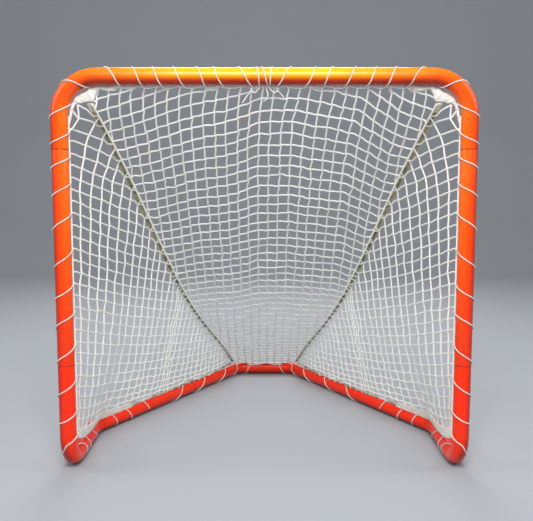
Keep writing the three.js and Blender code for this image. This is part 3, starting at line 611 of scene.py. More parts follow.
def zinc_finish():
    """Bright zinc plate, brushed a little by the driver and dulled in patches."""
    made = Finish("zinc_plate")
    dull = made.noise(0.004, 3.0)
    skin = made.mix(dull.over(0.4, 0.7), "c9cbcc", "9a9b98")
    grain = made.noise(0.0004, 1.0)
    return made.set(Base_Color=skin, Metallic=1.0, Roughness=dull * 0.25 + 0.2, Normal=made.bump(grain, 0.00005, 0.4))


screw_recipe = Recipe("screws_on_seats", Screw="Object", Finish="Material")
screw_recipe.finish(
    screw_recipe.set_on(
        screw_recipe.named("Geometry"),
        screw_recipe.named("Screw"),
        screw_recipe.node(
            "FunctionNodeRotateRotation",
            {"rotation_space": "LOCAL"},
            Rotation=screw_recipe.faced("outward"),
            Rotate_By=screw_recipe.node(
                "FunctionNodeAxisAngleToRotation", Axis=(0, 0, 1), Angle=screw_recipe.stored("spin")
            ),
        ),
    )
)

screw_seats = (
    ("upper_joint_screw", upper_joint - neck_length / 2, -math.pi / 2),
    ("lower_joint_screw", lower_joint - neck_length / 2, -math.pi / 2),
    ("front_joint_screw", front_joint + neck_length / 2, math.pi),
    ("rear_joint_screw", rear_joint - neck_length / 2, math.pi),
)
pattern = added("pan_head_screw", screw_shape())
zinc = zinc_finish()
for index, (name, distance, angle) in enumerate(screw_seats):
    seat_point = base_line.beside(distance, tube_radius, angle)
    outward = CentreLine.unit(seat_point - base_line.at(distance)[0])
    for side, sign in (("left", 1), ("right", -1)):
        guide = guide_object([seat_point * (sign, 1, 1)], outward=[outward * (sign, 1, 1)], spin=[0.7 * index + sign])
        screw = screw_recipe.cook(f"{side}_{name}_zinc", guide, Screw=pattern, Finish=zinc)
        settled(screw, "screw_zinc", f"{side}_{name}")
bpy.data.objects.remove(pattern)


# ----------------------------------------
# The net: white cord knotted into meshes of about 38 mm. The back net hangs from the crossbar to the
# rear bar, and a side net fills each triangle between post, base and the seam with the back net.
seat_gap = 0.0003
strand_radius = 0.0029
solid_tube_radius, solid_strand_radius = 0.027, 0.00225
edge_reach = solid_tube_radius + seat_gap + solid_strand_radius
bar_edge_angle, post_edge_angle, base_edge_angle = (math.pi / 8 * n for n in (3, -1, -3))
bar_edge_y = line_y + edge_reach * math.cos(bar_edge_angle)
bar_edge_z = bar_height - edge_reach * math.sin(bar_edge_angle)
rear_edge_y = line_y + goal_depth - (bar_edge_y - line_y)
rear_edge_z = base_centre + bar_height - bar_edge_z


def edge_angle(distance):
    """Where round the tube the side net's edge lies: behind the post, and inside the base."""
    share = np.clip((distance - foot_bend["begin"]) / (foot_bend["end"] - foot_bend["begin"]), 0, 1)
    return post_edge_angle + (base_edge_angle - post_edge_angle) * share


def side_edge(distance):
    return base_line.beside(distance, edge_reach, edge_angle(distance))


seam_inset, seam_drop = 0.095, 0.082
seam_top = np.array((seam_inset - post_x, bar_edge_y, bar_height - seam_drop))
seam_foot = side_edge(rear_bend["begin"])
seam_sag, seam_skew = 0.083, 1.15
tape_width = 0.02
net_reach = tape_width / 2 + seat_gap + solid_strand_radius
seam_across = CentreLine.unit(np.array((seam_foot[1] - seam_top[1], seam_top[0] - seam_foot[0], 0)))
seam_shares = np.linspace(0, 1, 400)
seam_points = seam_top + np.outer(seam_shares, seam_foot - seam_top)
seam_points[:, 2] -= seam_sag * np.sin(np.pi * seam_shares**seam_skew) ** 2
seam_near = 0.003
seam_cord_across, seam_cord_lift, seam_cord_radius = 0.0105, 0.0042, 0.0034
seam_last = 0.985


def table_at(keys, table, key):
    """A row of a table of points, read between two of its keys."""
    return np.array([np.interp(key, keys, table[:, axis]) for axis in range(3)])


def on_seam(share):
    return table_at(seam_shares, seam_points, share)


def seam_place(share, across, inwards):
    """A place beside the seam: across it towards the back net, and off it towards the mouth."""
    along = on_seam(min(1, share + seam_near)) - on_seam(max(0, share - seam_near))
    inward = CentreLine.unit(np.cross(along, seam_across))
    return on_seam(share) + seam_across * across + inward * inwards


def on_seam_cord(share, x=-1.0):
    """A place on the thick cord beside the tape, on the half of the goal where x lies."""
    return seam_place(share, seam_cord_across, seam_cord_lift) * (-math.copysign(1, x), 1, 1)


def seam_share_at(y):
    return float(np.clip((y - seam_top[1]) / (seam_foot[1] - seam_top[1]), 0, 1))


centre_sag, sag_skew = 0.15, 0.85
level_depth = 0.095


def back_height(x, y):
    """The height of the back net over a place on the ground plan."""
    share = np.clip((y - bar_edge_y) / (rear_edge_y - bar_edge_y), 0, 1)
    skewed = share**sag_skew
    middle = bar_edge_z + (rear_edge_z - bar_edge_z) * share - 4 * centre_sag * skewed * (1 - skewed)
    seam = on_seam(seam_share_at(y))
    out = np.clip(abs(x / seam[0]), 0, 1)
    return middle + (seam[2] - middle) * out**2 * np.clip((y - bar_edge_y) / level_depth, 0, 1)


def past_seam(x, y):
    return (np.array((-abs(x), y, 0)) - seam_top) * (1, 1, 0) @ seam_across < net_reach


# How far each row of the back net has slipped down, from the left seam across to the right one
slips = (
    (-0.56, 0.185), (-0.42, 0.138), (-0.30, 0.089), (-0.25, 0.069), (-0.20, 0.056), (-0.14, 0.045), (-0.10, 0.033),
    (-0.06, 0.018), (-0.03, 0.002), (0.0, 0.0), (0.08, -0.002), (0.11, 0.003), (0.145, 0.013), (0.18, 0.018),
    (0.21, 0.024), (0.25, 0.033), (0.285, 0.041), (0.31, 0.058), (0.345, 0.080), (0.42, 0.130), (0.56, 0.180),
)
slip_places, slip_drops = zip(*slips)
slip_run = 0.3
row_pitch, row_crowd, crowd_from = 0.042, 0.000325, 28
column_pitch, column_widening = 0.0345, 0.0033
column_shift, shift_columns = -0.006, 20
spread_size, spread_fades, spread_grows = 0.055, 0.16, 0.06
# How far the lacing draws each column's top aside, by the column's number from the middle
lean_numbers = (-14.5, -10.5, -7.5, -4.5, -2.5, -0.5, 0.5, 1.5, 3.5, 7.0, 11.0, 14.5)
lean_sizes = (0.016, 0.0075, 0.011, 0.018, 0.023, 0.022, 0.023, 0.027, 0.030, 0.028, 0.019, 0.010)
lean_fades = 0.12
# Where the lacing holds the net's edge up to the bar, out from the middle; it dips in between
held_places = (0.0, 0.018, 0.061, 0.147, 0.193, 0.265, 0.331, 0.389, 0.460, 0.53)
edge_dip, dip_forward, edge_end = 0.0065, 0.3, 0.52
quarters = 4
end_clear, seam_catch = 0.012, 0.045
sewn_from, sewn_to = 0.02, 0.99


def column_x(number, walked):
    """Where a column runs: wider set beside the seams, and drawn aside where it is laced to the crossbar."""
    even = column_pitch * number * (1 + column_widening * abs(number))
    spread = spread_size * math.exp(-walked / spread_fades) * (1 - math.exp(-walked / spread_grows))
    aside = np.interp(number, lean_numbers, lean_sizes) * math.exp(-walked / lean_fades)
    return aside + column_shift * (1 - abs(number) / shift_columns) + even * (1 + spread)


def row_run(row):
    """How far down the net's middle a row lies."""
    return row_pitch * row - row_crowd * max(0.0, row - crowd_from) ** 2


def walked_column(number):
    """A column's places, every few millimetres of its length, from the crossbar to the seam or the rear bar."""
    step = 0.004
    walked = 0.0
    here = np.array((column_x(number, 0), bar_edge_y, bar_edge_z))
    here[2] = back_height(here[0], here[1])
    places, runs = [here], [0.0]
    while True:
        x = column_x(number, walked + step)
        slope = (back_height(x, here[1] + step) - here[2]) / step
        y = here[1] + step / math.hypot(1, slope)
        ahead = np.array((x, y, back_height(x, y)))
        if past_seam(x, y) or y > rear_edge_y:
            end = on_seam_cord(seam_share_at(y), x) if past_seam(x, y) else np.array((x, rear_edge_y, rear_edge_z))
            places.append(end)
            runs.append(walked + np.linalg.norm(end - here))
            return np.array(places), np.array(runs)
        walked += np.linalg.norm(ahead - here)
        places.append(ahead)
        runs.append(walked)
        here = ahead


chance = np.random.default_rng(38)
wobble_table = {}
knot_push = kink = 0.0016
kink_share, kink_varies = 0.6, 0.4


def wobble(key, size):
    """A small fixed push for one knot of the net, the same each time that the knot is asked for."""
    if key not in wobble_table:
        wobble_table[key] = chance.normal(0, 1, 3)
    return wobble_table[key] * size


def loosened(places, knot_steps, keys, lift):
    """A cord drawn through its knots, which push it about a little and put a small kink in it at each."""
    places = np.array(places)
    pushes = np.zeros_like(places)
    if knot_steps:
        given = np.array([wobble(key, knot_push) for key in keys])
        for axis in range(3):
            pushes[:, axis] = np.interp(np.arange(len(places)), knot_steps, given[:, axis])
        for step, key in zip(knot_steps, keys):
            for side in (-1, 1):
                if 0 < step + side < len(places) - 1:
                    share = kink_share + kink_varies * np.tanh(wobble(key, 1.0)[0])
                    pushes[step + side] += side * kink * np.array(lift) * share
    ends = np.ones(len(places))
    ends[[0, -1]] = 0
    return places + pushes * ends[:, None]


def quartered(stops):
    """Every stop but the last, with three more between each two."""
    pairs = zip(stops, stops[1:])
    return [low + (high - low) * quarter / quarters for low, high in pairs for quarter in range(quarters)]


class Strands:
    """Collects cords as polylines, and the knots where they cross."""

    def __init__(self):
        self.points, self.radii, self.stains, self.edges = [], [], [], []
        self.knots, self.ways = [], []

    def cord(self, places, radius=1.0, stain=0.0):
        first = len(self.points)
        self.points.extend(places)
        self.radii.extend([radius] * len(places))
        self.stains.extend([stain] * len(places))
        self.edges.extend((first + i, first + i + 1) for i in range(len(places) - 1))

    def knotted(self, places, keys, lift):
        """Adds a quartered cord, with a knot at each stop between its ends."""
        steps = [quarters * (i + 1) for i in range(len(keys))]
        cord = loosened(places, steps, keys, lift)
        self.cord(cord)
        self.knots.extend(cord[step] for step in steps)
        self.ways.extend(CentreLine.unit(cord[step + 1] - cord[step - 1]) for step in steps)

    def guide(self):
        """The cords as lines, and each knot as a lone point that says which way it lies."""
        lone = len(self.knots)
        return guide_object(
            [*self.points, *self.knots],
            self.edges,
            knotted=[0.0] * len(self.points) + [1.0] * lone,
            way=[(0, 0, 1)] * len(self.points) + self.ways,
            thick=self.radii + [1.0] * lone,
            stain=self.stains + [0.0] * lone,
        )


def back_net_strands():
    strands = Strands()
    half_count = 15  # columns on each side of the middle
    fine = np.arange(-half_count * quarters, half_count * quarters + 1) / quarters
    walks = {number: walked_column(number) for number in fine if not past_seam(column_x(number, 0), bar_edge_y)}
    for side in (-1, 1):
        edge = []
        for x in np.linspace(0, edge_end, 200):
            share = np.interp(x, held_places, range(len(held_places)))
            dip = (0.0 if share < 1 else edge_dip) * abs(math.sin(math.pi * share))
            edge.append(np.array((side * x, bar_edge_y - dip_forward * dip, bar_edge_z - dip)))
        strands.cord(edge)
    rows = range(-4, 42)

    def row_at(row, number):
        return row_run(row) + np.interp(column_x(number, slip_run), slip_places, slip_drops)

    def row_cord(cord, knot_steps, keys):
        """Adds a row, with each end that comes near the seam carried on to the seam's cord."""
        cord = loosened(cord, knot_steps, keys, (0, 0, 1.0))
        ends = []
        for place in (cord[0], cord[-1]):
            share = seam_share_at(place[1])
            seam = on_seam_cord(share, place[0])
            near = np.linalg.norm(seam - place) < seam_catch and sewn_from < share < sewn_to
            ends.append([seam] if near else [])
        strands.cord([*ends[0], *cord, *ends[1]])

    for number, (places, runs) in walks.items():
        if number % 1 == 0.5:
            marks = [row for row in rows if end_clear < row_at(row, number) < runs[-1] - end_clear]
            stops = [0.0, *[row_at(row, number) for row in marks], runs[-1]]
            cord = [table_at(runs, places, run) for run in quartered(stops)] + [places[-1]]
            strands.knotted(cord, [(row, number) for row in marks], (1.0, 0, 0))
    for row in rows:
        cord, knot_steps, keys = [], [], []
        for number in [*fine, half_count + 1]:
            run = row_at(row, number)
            places, runs = walks.get(number, ([], [0]))
            if end_clear / 2 < run < runs[-1]:
                if number % 1 == 0.5 and end_clear < run < runs[-1] - end_clear:
                    knot_steps.append(len(cord))
                    keys.append((row, number))
                cord.append(table_at(runs, places, run))
            elif cord:
                row_cord(cord, knot_steps, keys)
                cord, knot_steps, keys = [], [], []
    ends = [places[-1] for places, _ in walks.values()]
    strands.cord([end for end in ends if end[1] >= rear_edge_y - 1e-6])
    for x in (-1, 1):
        run = [on_seam_cord(share, x) for share in np.linspace(0.0, seam_last, 300)]
        strands.cord(run, radius=seam_cord_radius / strand_radius)
    return strands


edge_table = np.array([side_edge(d) for d in np.linspace(foot_bend["begin"], rear_bend["end"], 1200)])
base_edge_z = edge_table[-1, 2]
net_side = (seam_points - seam_across * net_reach)[::-1]
post_edge = side_edge(upper_joint)
bulge_height = 0.3


def side_place(y, z):
    """A place in the side net, for a depth into the goal and a height over the ground."""
    base = table_at(edge_table[:, 1], edge_table, y)
    seam = table_at(net_side[:, 2], net_side, z)
    along = np.clip((y - post_edge[1]) / (seam[1] - post_edge[1]), 0, 1)
    straight = post_edge[0] + (seam[0] - post_edge[0]) * along
    bulge = math.exp((base[2] - z) / bulge_height) * (1 - along**4)
    return np.array((straight + (base[0] - straight) * bulge, y, z))


# The side net's columns, as depths behind the goal line: high on the net, and down beside the base
column_tops = [
    0.052, 0.101, 0.150, 0.197, 0.248, 0.296, 0.338, 0.378, 0.416,
    0.450, 0.486, 0.522, 0.560, 0.594, 0.622, 0.640, 0.656, 0.680,
]
column_feet = [
    0.047, 0.098, 0.152, 0.212, 0.276, 0.345, 0.396, 0.440, 0.479,
    0.516, 0.549, 0.582, 0.618, 0.648, 0.668, 0.682, 0.696, 0.716,
]
rear_column_pitch = 0.034
while column_feet[-1] < 1.15:
    column_tops.append(column_tops[-1] + rear_column_pitch)
    column_feet.append(column_feet[-1] + rear_column_pitch)
side_row_pitch = 0.0375
side_row_fall, fall_from = 0.31, 0.01
column_lean, lean_from = 0.11, 0.93

# The lower border leaves the post over the foot bend and comes down on to the base behind it
border_depths, border_rises = (0.0113, 0.03, 0.12, 0.255, 0.34), (0.055, 0.051, 0.021, 0.002, 0.0)


def border_z(y):
    return base_edge_z + np.interp(y - line_y, border_depths, border_rises)


# The upper border hangs from the patch: how far it lies under the bar, for a distance in from the post
patch_insets = (0.027, 0.034, 0.040, 0.045, 0.055, 0.083, 0.106)
patch_drops = (0.146, 0.131, 0.105, 0.088, 0.080, 0.076, 0.070)
patch_depth = 0.06


def under_patch(place):
    drop = np.interp(place[0] + post_x, patch_insets, patch_drops)
    return place[1] > line_y + patch_depth or place[2] < bar_height - drop


def side_column_y(number, z):
    """How far back a column lies at a height. Under zero it lies between the post and the first column."""
    if number < 0:
        return post_edge[1] + (side_column_y(0, z) - post_edge[1]) * (1 + number)
    low, high = 0.12, 0.75
    tops = np.interp(number, range(len(column_tops)), column_tops)
    feet = np.interp(number, range(len(column_feet)), column_feet)
    lean = column_lean * max(0.0, z - lean_from)
    return line_y + feet + (tops - feet) * (np.clip(z, 0, 1.0) - low) / (high - low) + lean


def side_row_z(row, y):
    """Rows leave the post level and close up on the base as they run back."""
    full = row * side_row_pitch
    return base_edge_z + full * math.exp(-side_row_fall * max(0.0, y - post_edge[1] - fall_from) / full)


# Two short cords that fill the net's corner under the patch
corner_cords = [
    [
        (-0.581, 0.014, 1.181), (-0.5795, 0.017, 1.16), (-0.579, 0.018, 1.139),
        (-0.59, 0.016, 1.122), (-0.598, 0.014, 1.109), (-0.609, 0.0113, 1.1),
    ],
    [(-0.596, 0.0125, 1.162), (-0.588, 0.015, 1.15), (-0.579, 0.018, 1.139)],
]
border_top_z = 1.13
row_begins = np.array((-0.012, 0, 0.012))
top_clear, foot_clear = 0.004, 0.006
tape_front, tape_lift, tape_half_thick = 0.6, 0.0025, 0.0012
column_climb, column_back = 0.007, 0.3
crossing_rounds, top_rounds = 12, 8
seam_hangs, spare_rows = 0.085, 12
# Cords that lie bunched along the base, tinted olive-brown as painted shade, by how far they begin behind its bend and
# end before the rear one
bunch_from, bunch_to, bunch_lift = 0.09, 0.01, 0.005
bunch_stains, bunch_step, bunch_thick = (0.9, 0.35, 0.65), 0.0038, 0.8


def side_net_strands():
    strands = Strands()
    count = len(column_tops)
    columns = {number: [] for number in range(count)}

    def crossing(row, number):
        z = side_row_z(row, line_y + 0.2)
        for _ in range(crossing_rounds):
            y = side_column_y(number, z)
            z = side_row_z(row, y)
        return y, z

    def seam_z(y):
        return np.interp(y, net_side[::-1, 1], net_side[::-1, 2])

    def over_tape(y, climb=0.0):
        """The last places of a cord, over the front of the tape to the seam's cord, with a climb up the seam."""
        share = seam_share_at(y)
        return [
            seam_place(share, -tape_width * tape_front, tape_lift),
            seam_place(max(0.0, share - climb), 0.0, tape_half_thick + strand_radius),
            on_seam_cord(max(0.0, share - 2 * climb)),
        ]

    row_count = int((bar_height - seam_hangs - base_edge_z) / side_row_pitch) + spare_rows
    for row in range(1, row_count):
        cord, knot_steps, keys, end = [], [], [], []
        for number in np.arange(-quarters, (count - 1) * quarters + 1) / quarters:
            y, z = crossing(row, number)
            seam = seam_z(y)
            if z > seam - top_clear:
                if cord:
                    end = over_tape(y)
                    break
                continue
            place = side_place(y, z)
            if z < border_z(y) + foot_clear or not under_patch(place):
                continue
            if number >= 0 and number % 1 == 0 and z < seam - end_clear:
                knot_steps.append(len(cord))
                keys.append((100 + row, number))
                columns[number].append((z, row))
            cord.append(place)
        if len(cord) > 2:
            begin = [cord[0] + row_begins] if cord[0][2] > border_top_z else []
            strands.cord([*begin, *loosened(cord, knot_steps, keys, (0, 0, 1.0)), *end])
    corners = [[np.array(place) + (0, line_y, 0) for place in cord] for cord in corner_cords]
    corners.append([corners[0][0], np.array((-0.553, line_y + 0.021, 1.166)), *over_tape(line_y + 0.045)])
    for cord in corners:
        strands.cord(cord)
    for number, crossings in columns.items():
        if not crossings:
            continue
        crossings.sort(key=lambda one: one[0])
        high_z = crossings[-1][0]
        for _ in range(top_rounds):
            high_y = side_column_y(number, high_z)
            high_z = seam_z(high_y)
        stops = [border_z(side_column_y(number, crossings[0][0])), *[z for z, _ in crossings], high_z]
        cord = [side_place(side_column_y(number, z), z) for z in quartered(stops)][: 1 - quarters]
        ahead = over_tape(high_y - column_back * (stops[-1] - stops[-2]), column_climb)
        cord += [cord[-1] + (ahead[0] - cord[-1]) * quarter / quarters for quarter in range(1, quarters)]
        strands.knotted([*cord, *ahead], [(100 + row, number) for _, row in crossings], (0, 1.0, 0))
    post_run = np.linspace(leg_end - (bar_height - 0.12), leg_end - border_z(post_edge[1]), 240)
    border = [side_place(y, border_z(y)) for y in np.linspace(post_edge[1], line_y + 0.5, 120)[1:]]
    rail = [side_edge(run) for run in np.linspace(base_bend["end"], rear_bend["begin"], 240)]
    rail = [place for place in rail if place[1] > border[-1][1] + 0.002]
    strands.cord([*[side_edge(run) for run in post_run], *border, *rail])
    for layer, stain in enumerate(bunch_stains):
        bunch = []
        for run in np.linspace(base_bend["end"] + bunch_from, rear_bend["begin"] - bunch_to, 260):
            _, y, z = side_edge(run)
            lift = bunch_lift + bunch_step * layer + 0.0016 * math.sin(run * 71 + 2 * layer)
            lift += 0.001 * math.sin(run * 167 + layer)
            bunch.append(side_place(y, z + lift) + (0.0015 * math.sin(run * 93 + 4 * layer), 0, 0))
        strands.cord(bunch, radius=bunch_thick, stain=stain)
    return strands


def net_finish():
    """Twisted nylon cord: off-white, a little grey where it has been handled, with its lay showing."""
    made = Finish("white_net_cord")
    grey = made.noise(0.12, 3.0)
    speck = made.noise(0.009, 2.0)
    skin = made.mix(grey.over(0.35, 0.75) * 0.4, "f8f8f2", "e6e7dd")
    skin = made.mix(speck.over(0.62, 0.75) * 0.25, skin, "c2c4b6")
    # Painted shade: olive-brown patches on the cords bunched along the base.
    skin = made.mix(made.grown("stain") * made.noise(0.05, 3.0).over(0.3, 0.55), skin, "8a7a4e")
    lay = (made.grown("run") * (2 * math.pi / 0.007) + made.grown("turn") * (2 * math.pi * 2)).sine()
    fibre = made.noise(0.0011, 2.0)
    made.set(Base_Color=skin, Roughness=0.85, Sheen_Weight=0.12)
    return made.set(Normal=made.bump(lay + fibre * 0.6, 0.0004, 0.7))


def cord_recipe(name, knots):
    """Draws a round cord along every line of a guide, and a small knot at each lone point."""
    made = Recipe(name, Radius="Float", Sides="Int", Knot="Object", Finish="Material")
    lines = made.node("GeometryNodeMeshToCurve", Mesh=made.named("Geometry"))
    lines = made.kept(lines, "run", made.node("GeometryNodeSplineParameter", output="Length"))
    ring = made.node("GeometryNodeCurvePrimitiveCircle", Resolution=made.named("Sides"), Radius=made.named("Radius"))
    ring = made.kept(ring, "turn", made.node("GeometryNodeSplineParameter", output="Factor"))
    cord = made.node(
        "GeometryNodeCurveToMesh", Curve=lines, Profile_Curve=ring, Scale=made.stored("thick"), Fill_Caps=True
    )
    cord = made.node("GeometryNodeSetShadeSmooth", Geometry=cord)
    if knots:
        chosen = {"Selection": made.stored("knotted")}
        lumps = made.set_on(made.named("Geometry"), made.named("Knot"), made.faced("way"), **chosen)
        cord = made.joined(cord, lumps)
    made.finish(cord)
    return made


def knot_shape(width, length, sides, rings):
    """A small rounded lump, as where two cords are knotted."""
    points = [(0, 0, -length / 2)]
    for ring in range(1, rings):
        tilt = math.pi * ring / rings
        for k in range(sides):
            turn = 2 * math.pi * k / sides
            swell = 1 + 0.12 * math.cos(2 * turn)
            reach = width / 2 * math.sin(tilt) * swell
            points.append((reach * math.cos(turn), reach * math.sin(turn), -length / 2 * math.cos(tilt)))
    points.append((0, 0, length / 2))
    last = len(points) - 1
    faces = [(0, 1 + (k + 1) % sides, 1 + k) for k in range(sides)]
    for ring in range(rings - 2):
        for k in range(sides):
            a = 1 + ring * sides + k
            b = 1 + ring * sides + (k + 1) % sides
            faces.append((a, b, b + sides, a + sides))
    top = 1 + (rings - 2) * sides
    faces += [(top + k, top + (k + 1) % sides, last) for k in range(sides)]
    return mesh_object("net_knot", points, faces)


net_recipe = cord_recipe("knotted_net", True)
net_knot = knot_shape(0.0074, 0.0088, 6, 4)
white_cord = net_finish()


def net_piece(name, strands):
    guide = strands.guide()
    return net_recipe.cook(name, guide, Radius=strand_radius, Sides=6, Knot=net_knot, Finish=white_cord)


settled(net_piece("back_net_mesh", back_net_strands()), "net_cord", "back_net")
both_sides(net_piece("left_side_mesh", side_net_strands()), "net_cord", "side_net")
bpy.data.objects.remove(net_knot)


# ----------------------------------------
# The seam tape: webbing 20 mm wide, coloured olive as painted shade, sewn along the seam between the back net and each
# side net.
# Its top end is wrapped in pale cloth under the corner patch, and its foot reaches the rear corner.
def cloth_piece(name, middle, thickness, finish):
    """A closed strip of cloth about a grid of places, rounded over at its edges."""
    rows, columns = middle.shape[:2]
    along, across = np.gradient(middle, axis=0), np.gradient(middle, axis=1)
    through = np.cross(along, across)
    along, across, through = (v / np.linalg.norm(v, axis=2, keepdims=True) for v in (along, across, through))
    half = np.broadcast_to(np.array(thickness, float) / 2, (rows, columns))[:, :, None]
    rim = [(0, j) for j in range(columns)] + [(i, columns - 1) for i in range(1, rows)]
    rim += [(rows - 1, j) for j in range(columns - 2, -1, -1)] + [(i, 0) for i in range(rows - 2, 0, -1)]
    out = along * np.array([-1] + [0] * (rows - 2) + [1])[:, None, None]
    out = out + across * np.array([-1] + [0] * (columns - 2) + [1])[None, :, None]
    count = rows * columns
    points = [*(middle + through * half).reshape(-1, 3), *(middle - through * half).reshape(-1, 3)]
    points += [middle[i, j] + CentreLine.unit(out[i, j]) * half[i, j] for i, j in rim]
    faces = []
    for i in range(rows - 1):
        for j in range(columns - 1):
            a, b = i * columns + j, (i + 1) * columns + j
            faces += [(a, b, b + 1, a + 1), (a + 1 + count, b + 1 + count, b + count, a + count)]
    for k, (i, j) in enumerate(rim):
        n = (k + 1) % len(rim)
        here, there = i * columns + j, rim[n][0] * columns + rim[n][1]
        outer, ahead = 2 * count + k, 2 * count + n
        faces += [(here, there, ahead, outer), (outer, ahead, there + count, here + count)]
    piece = mesh_object(name, points, faces)
    walked = np.cumsum(np.linalg.norm(np.diff(middle, axis=0, prepend=middle[:1]), axis=2), axis=0)
    spread = np.cumsum(np.linalg.norm(np.diff(middle, axis=1, prepend=middle[:, :1]), axis=2), axis=1)
    inset = np.minimum(np.minimum(walked, walked[-1] - walked), np.minimum(spread, spread[:, -1:] - spread))
    for key, table in (("along", walked), ("across", spread), ("inset", inset)):
        grow(piece, key, [*table.ravel(), *table.ravel(), *[table[i, j] for i, j in rim]])
    shape = bmesh.new()
    shape.from_mesh(piece.data)
    bmesh.ops.recalc_face_normals(shape, faces=shape.faces)
    shape.to_mesh(piece.data)
    shape.free()
    piece.data.materials.append(finish)
    return piece


def cloth_grid(steps, rows, place_at):
    """A grid of places, from how far along and how far across the cloth each one lies."""
    return np.array([[place_at(i / (steps - 1), j / (rows - 1)) for j in range(rows)] for i in range(steps)])


def sewn_on(left, slot, node, rests_on, **sheet):
    """Ties the left and right pieces of a pair of sheets. rests_on and the sheet's measures are not used."""
    for piece in both_sides(left, slot, node):
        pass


def woven(made, along, across, pitch):
    """The small hills of a plain weave, from two lengths on the cloth."""
    return (along * (2 * math.pi / pitch)).sine() * (across * (2 * math.pi / pitch)).sine()


def tape_finish():
    """Webbing coloured olive and beige as painted shade, pale and mottled where its top end is wrapped."""
    made = Finish("olive_webbing")
    along, across = made.grown("along"), made.grown("across")
    # Painted shade: the olive and beige stand for shadow on pale webbing.
    patchy = made.noise(0.03, 3.0)
    skin = made.mix(patchy.over(0.38, 0.62), "7d7752", "aba178")
    edge = 1 - made.grown("inset").over(0.0008, 0.0022)
    skin = made.mix(edge * 0.5, skin, "bdb594")
    wrapped = 1 - along.over(0.03, 0.038)
    speckled = made.mix(made.noise(0.006, 3.0).over(0.42, 0.6), "cfc7ae", "e9e6da")
    skin = made.mix(wrapped, skin, speckled)
    return made.set(Base_Color=skin, Roughness=0.9, Normal=made.bump(woven(made, along, across, 0.0024), 0.0003, 0.8))


tape_shares = np.linspace(0.0, seam_last, 260)
tape_columns = np.linspace(-0.5, 0.5, 5)
tape_middle = [seam_place(share, across * tape_width, 0.0) for share in tape_shares for across in tape_columns]
tape_middle = np.array(tape_middle).reshape(len(tape_shares), len(tape_columns), 3)
tape_middle[:, :, 2] += 0.0009 * np.sin(tape_shares * 160)[:, None] * tape_columns * 2
tape_run = np.linalg.norm(np.diff(tape_middle[:, 2], axis=0), axis=1).sum()
wrap_length, wrap_thick, wrap_fades = 0.034, 0.0032, 1.3
tape_thick, tape_length = 0.0018, 1.68
tape_thickness = tape_thick + wrap_thick * np.clip(wrap_fades - tape_shares * tape_length / wrap_length, 0, 1)[:, None]
tape = cloth_piece("left_seam_webbing", tape_middle, tape_thickness, tape_finish())
sewn_on(tape, "seam_webbing", "seam_tape", ["{}_side_mesh", "back_net_mesh"], flat=(tape_width, tape_run))


# ----------------------------------------
# The corner cloth: a crumpled white patch in each top corner, laced between the tube and the net.
# A narrow arm runs beside the bar and another down the post, and the body hangs inside the bend.
def cloth_finish():
    """Worn white cloth: a fine weave, and grubby patches tinted pink as a painted reflection of the orange tube beside
    it.
    """
    made = Finish("white_cloth")
    # Grime and painted reflection: the warm patches stand for dirt and for orange light thrown from the tube.
    grime_and_orange_reflection = made.noise(0.014, 4.0, 0.6)
    skin = made.mix(grime_and_orange_reflection.over(0.45, 0.68) * 0.6, "fcfbf5", "e2d3c0")
    skin = made.mix(made.noise(0.006, 3.0).over(0.6, 0.74) * 0.4, skin, "c0b49a")
    hem = 1 - made.grown("inset").over(0.002, 0.0032)
    skin = made.mix(hem * 0.25, skin, "c9bfae")
    weave = woven(made, made.grown("along"), made.grown("across"), 0.0016)
    creased = made.noise(0.007, 4.0, 0.65)
    bumps = made.bump(weave * 0.12 + creased, 0.0016, 0.8)
    return made.set(Base_Color=skin, Roughness=0.9, Sheen_Weight=0.1, Normal=bumps)


def runs_along(places):
    """How far along a line each of its places lies."""
    return np.concatenate(([0], np.cumsum(np.linalg.norm(np.diff(places, axis=0), axis=1))))


def walked_evenly(corners, count):
    """A line through the corners, cut into equal steps."""
    corners = np.array(corners, float)
    runs = runs_along(corners)
    steps = np.linspace(0, runs[-1], count)
    return np.stack([np.interp(steps, runs, corners[:, axis]) for axis in range(2)], axis=1)


# Both outlines of the patch in mm from the corner where the post and the bar would meet, from the arm's tip
patch_low = [
    (199, -28), (171, -42), (149, -42), (124, -37), (115, -48), (111, -60), (106, -74),
    (83, -76), (67, -80), (55, -80), (45, -88), (40, -105), (34, -131), (29, -146),
]
patch_high = [(199, -25), (109, -25), (93, -33), (80, -41), (58, -57), (48, -64), (34, -94), (25, -146)]
patch_steps, patch_rows = 110, 14
patch_behind, patch_hump, body_at, body_reach = 0.0118, 0.006, 0.52, 0.2
low_line, high_line = walked_evenly(patch_low, patch_steps), walked_evenly(patch_high, patch_steps)
run = np.linspace(0, 1, patch_steps)
patch_middle = np.zeros((patch_steps, patch_rows, 3))
for j in range(patch_rows):
    share = j / (patch_rows - 1)
    flat = (low_line * (1 - share) + high_line * share) / 1000
    hump = math.sin(math.pi * share)
    body = np.exp(-(((run - body_at) / body_reach) ** 2)) * hump
    folds = 0.0014 * np.sin(run * 61 + share * 3.1) + 0.001 * np.sin(run * 103 - share * 5.2 + 1.3)
    patch_middle[:, j, 0] = flat[:, 0] - post_x
    patch_middle[:, j, 1] = line_y + patch_behind - patch_hump * body + folds * (0.35 + 0.65 * hump)
    patch_middle[:, j, 2] = flat[:, 1] + bar_height
white_cloth = cloth_finish()
cloth_thickness = 0.0022
patch_flat, patch_area = (0.262, 0.046), 0.0067
patch = cloth_piece("left_corner_cloth", patch_middle, cloth_thickness, white_cloth)
patch_rests = ["crossbar_tube", "{}_side_mesh"]
sewn_on(patch, "white_cloth", "corner_patch", patch_rests, flat=patch_flat, area=patch_area)


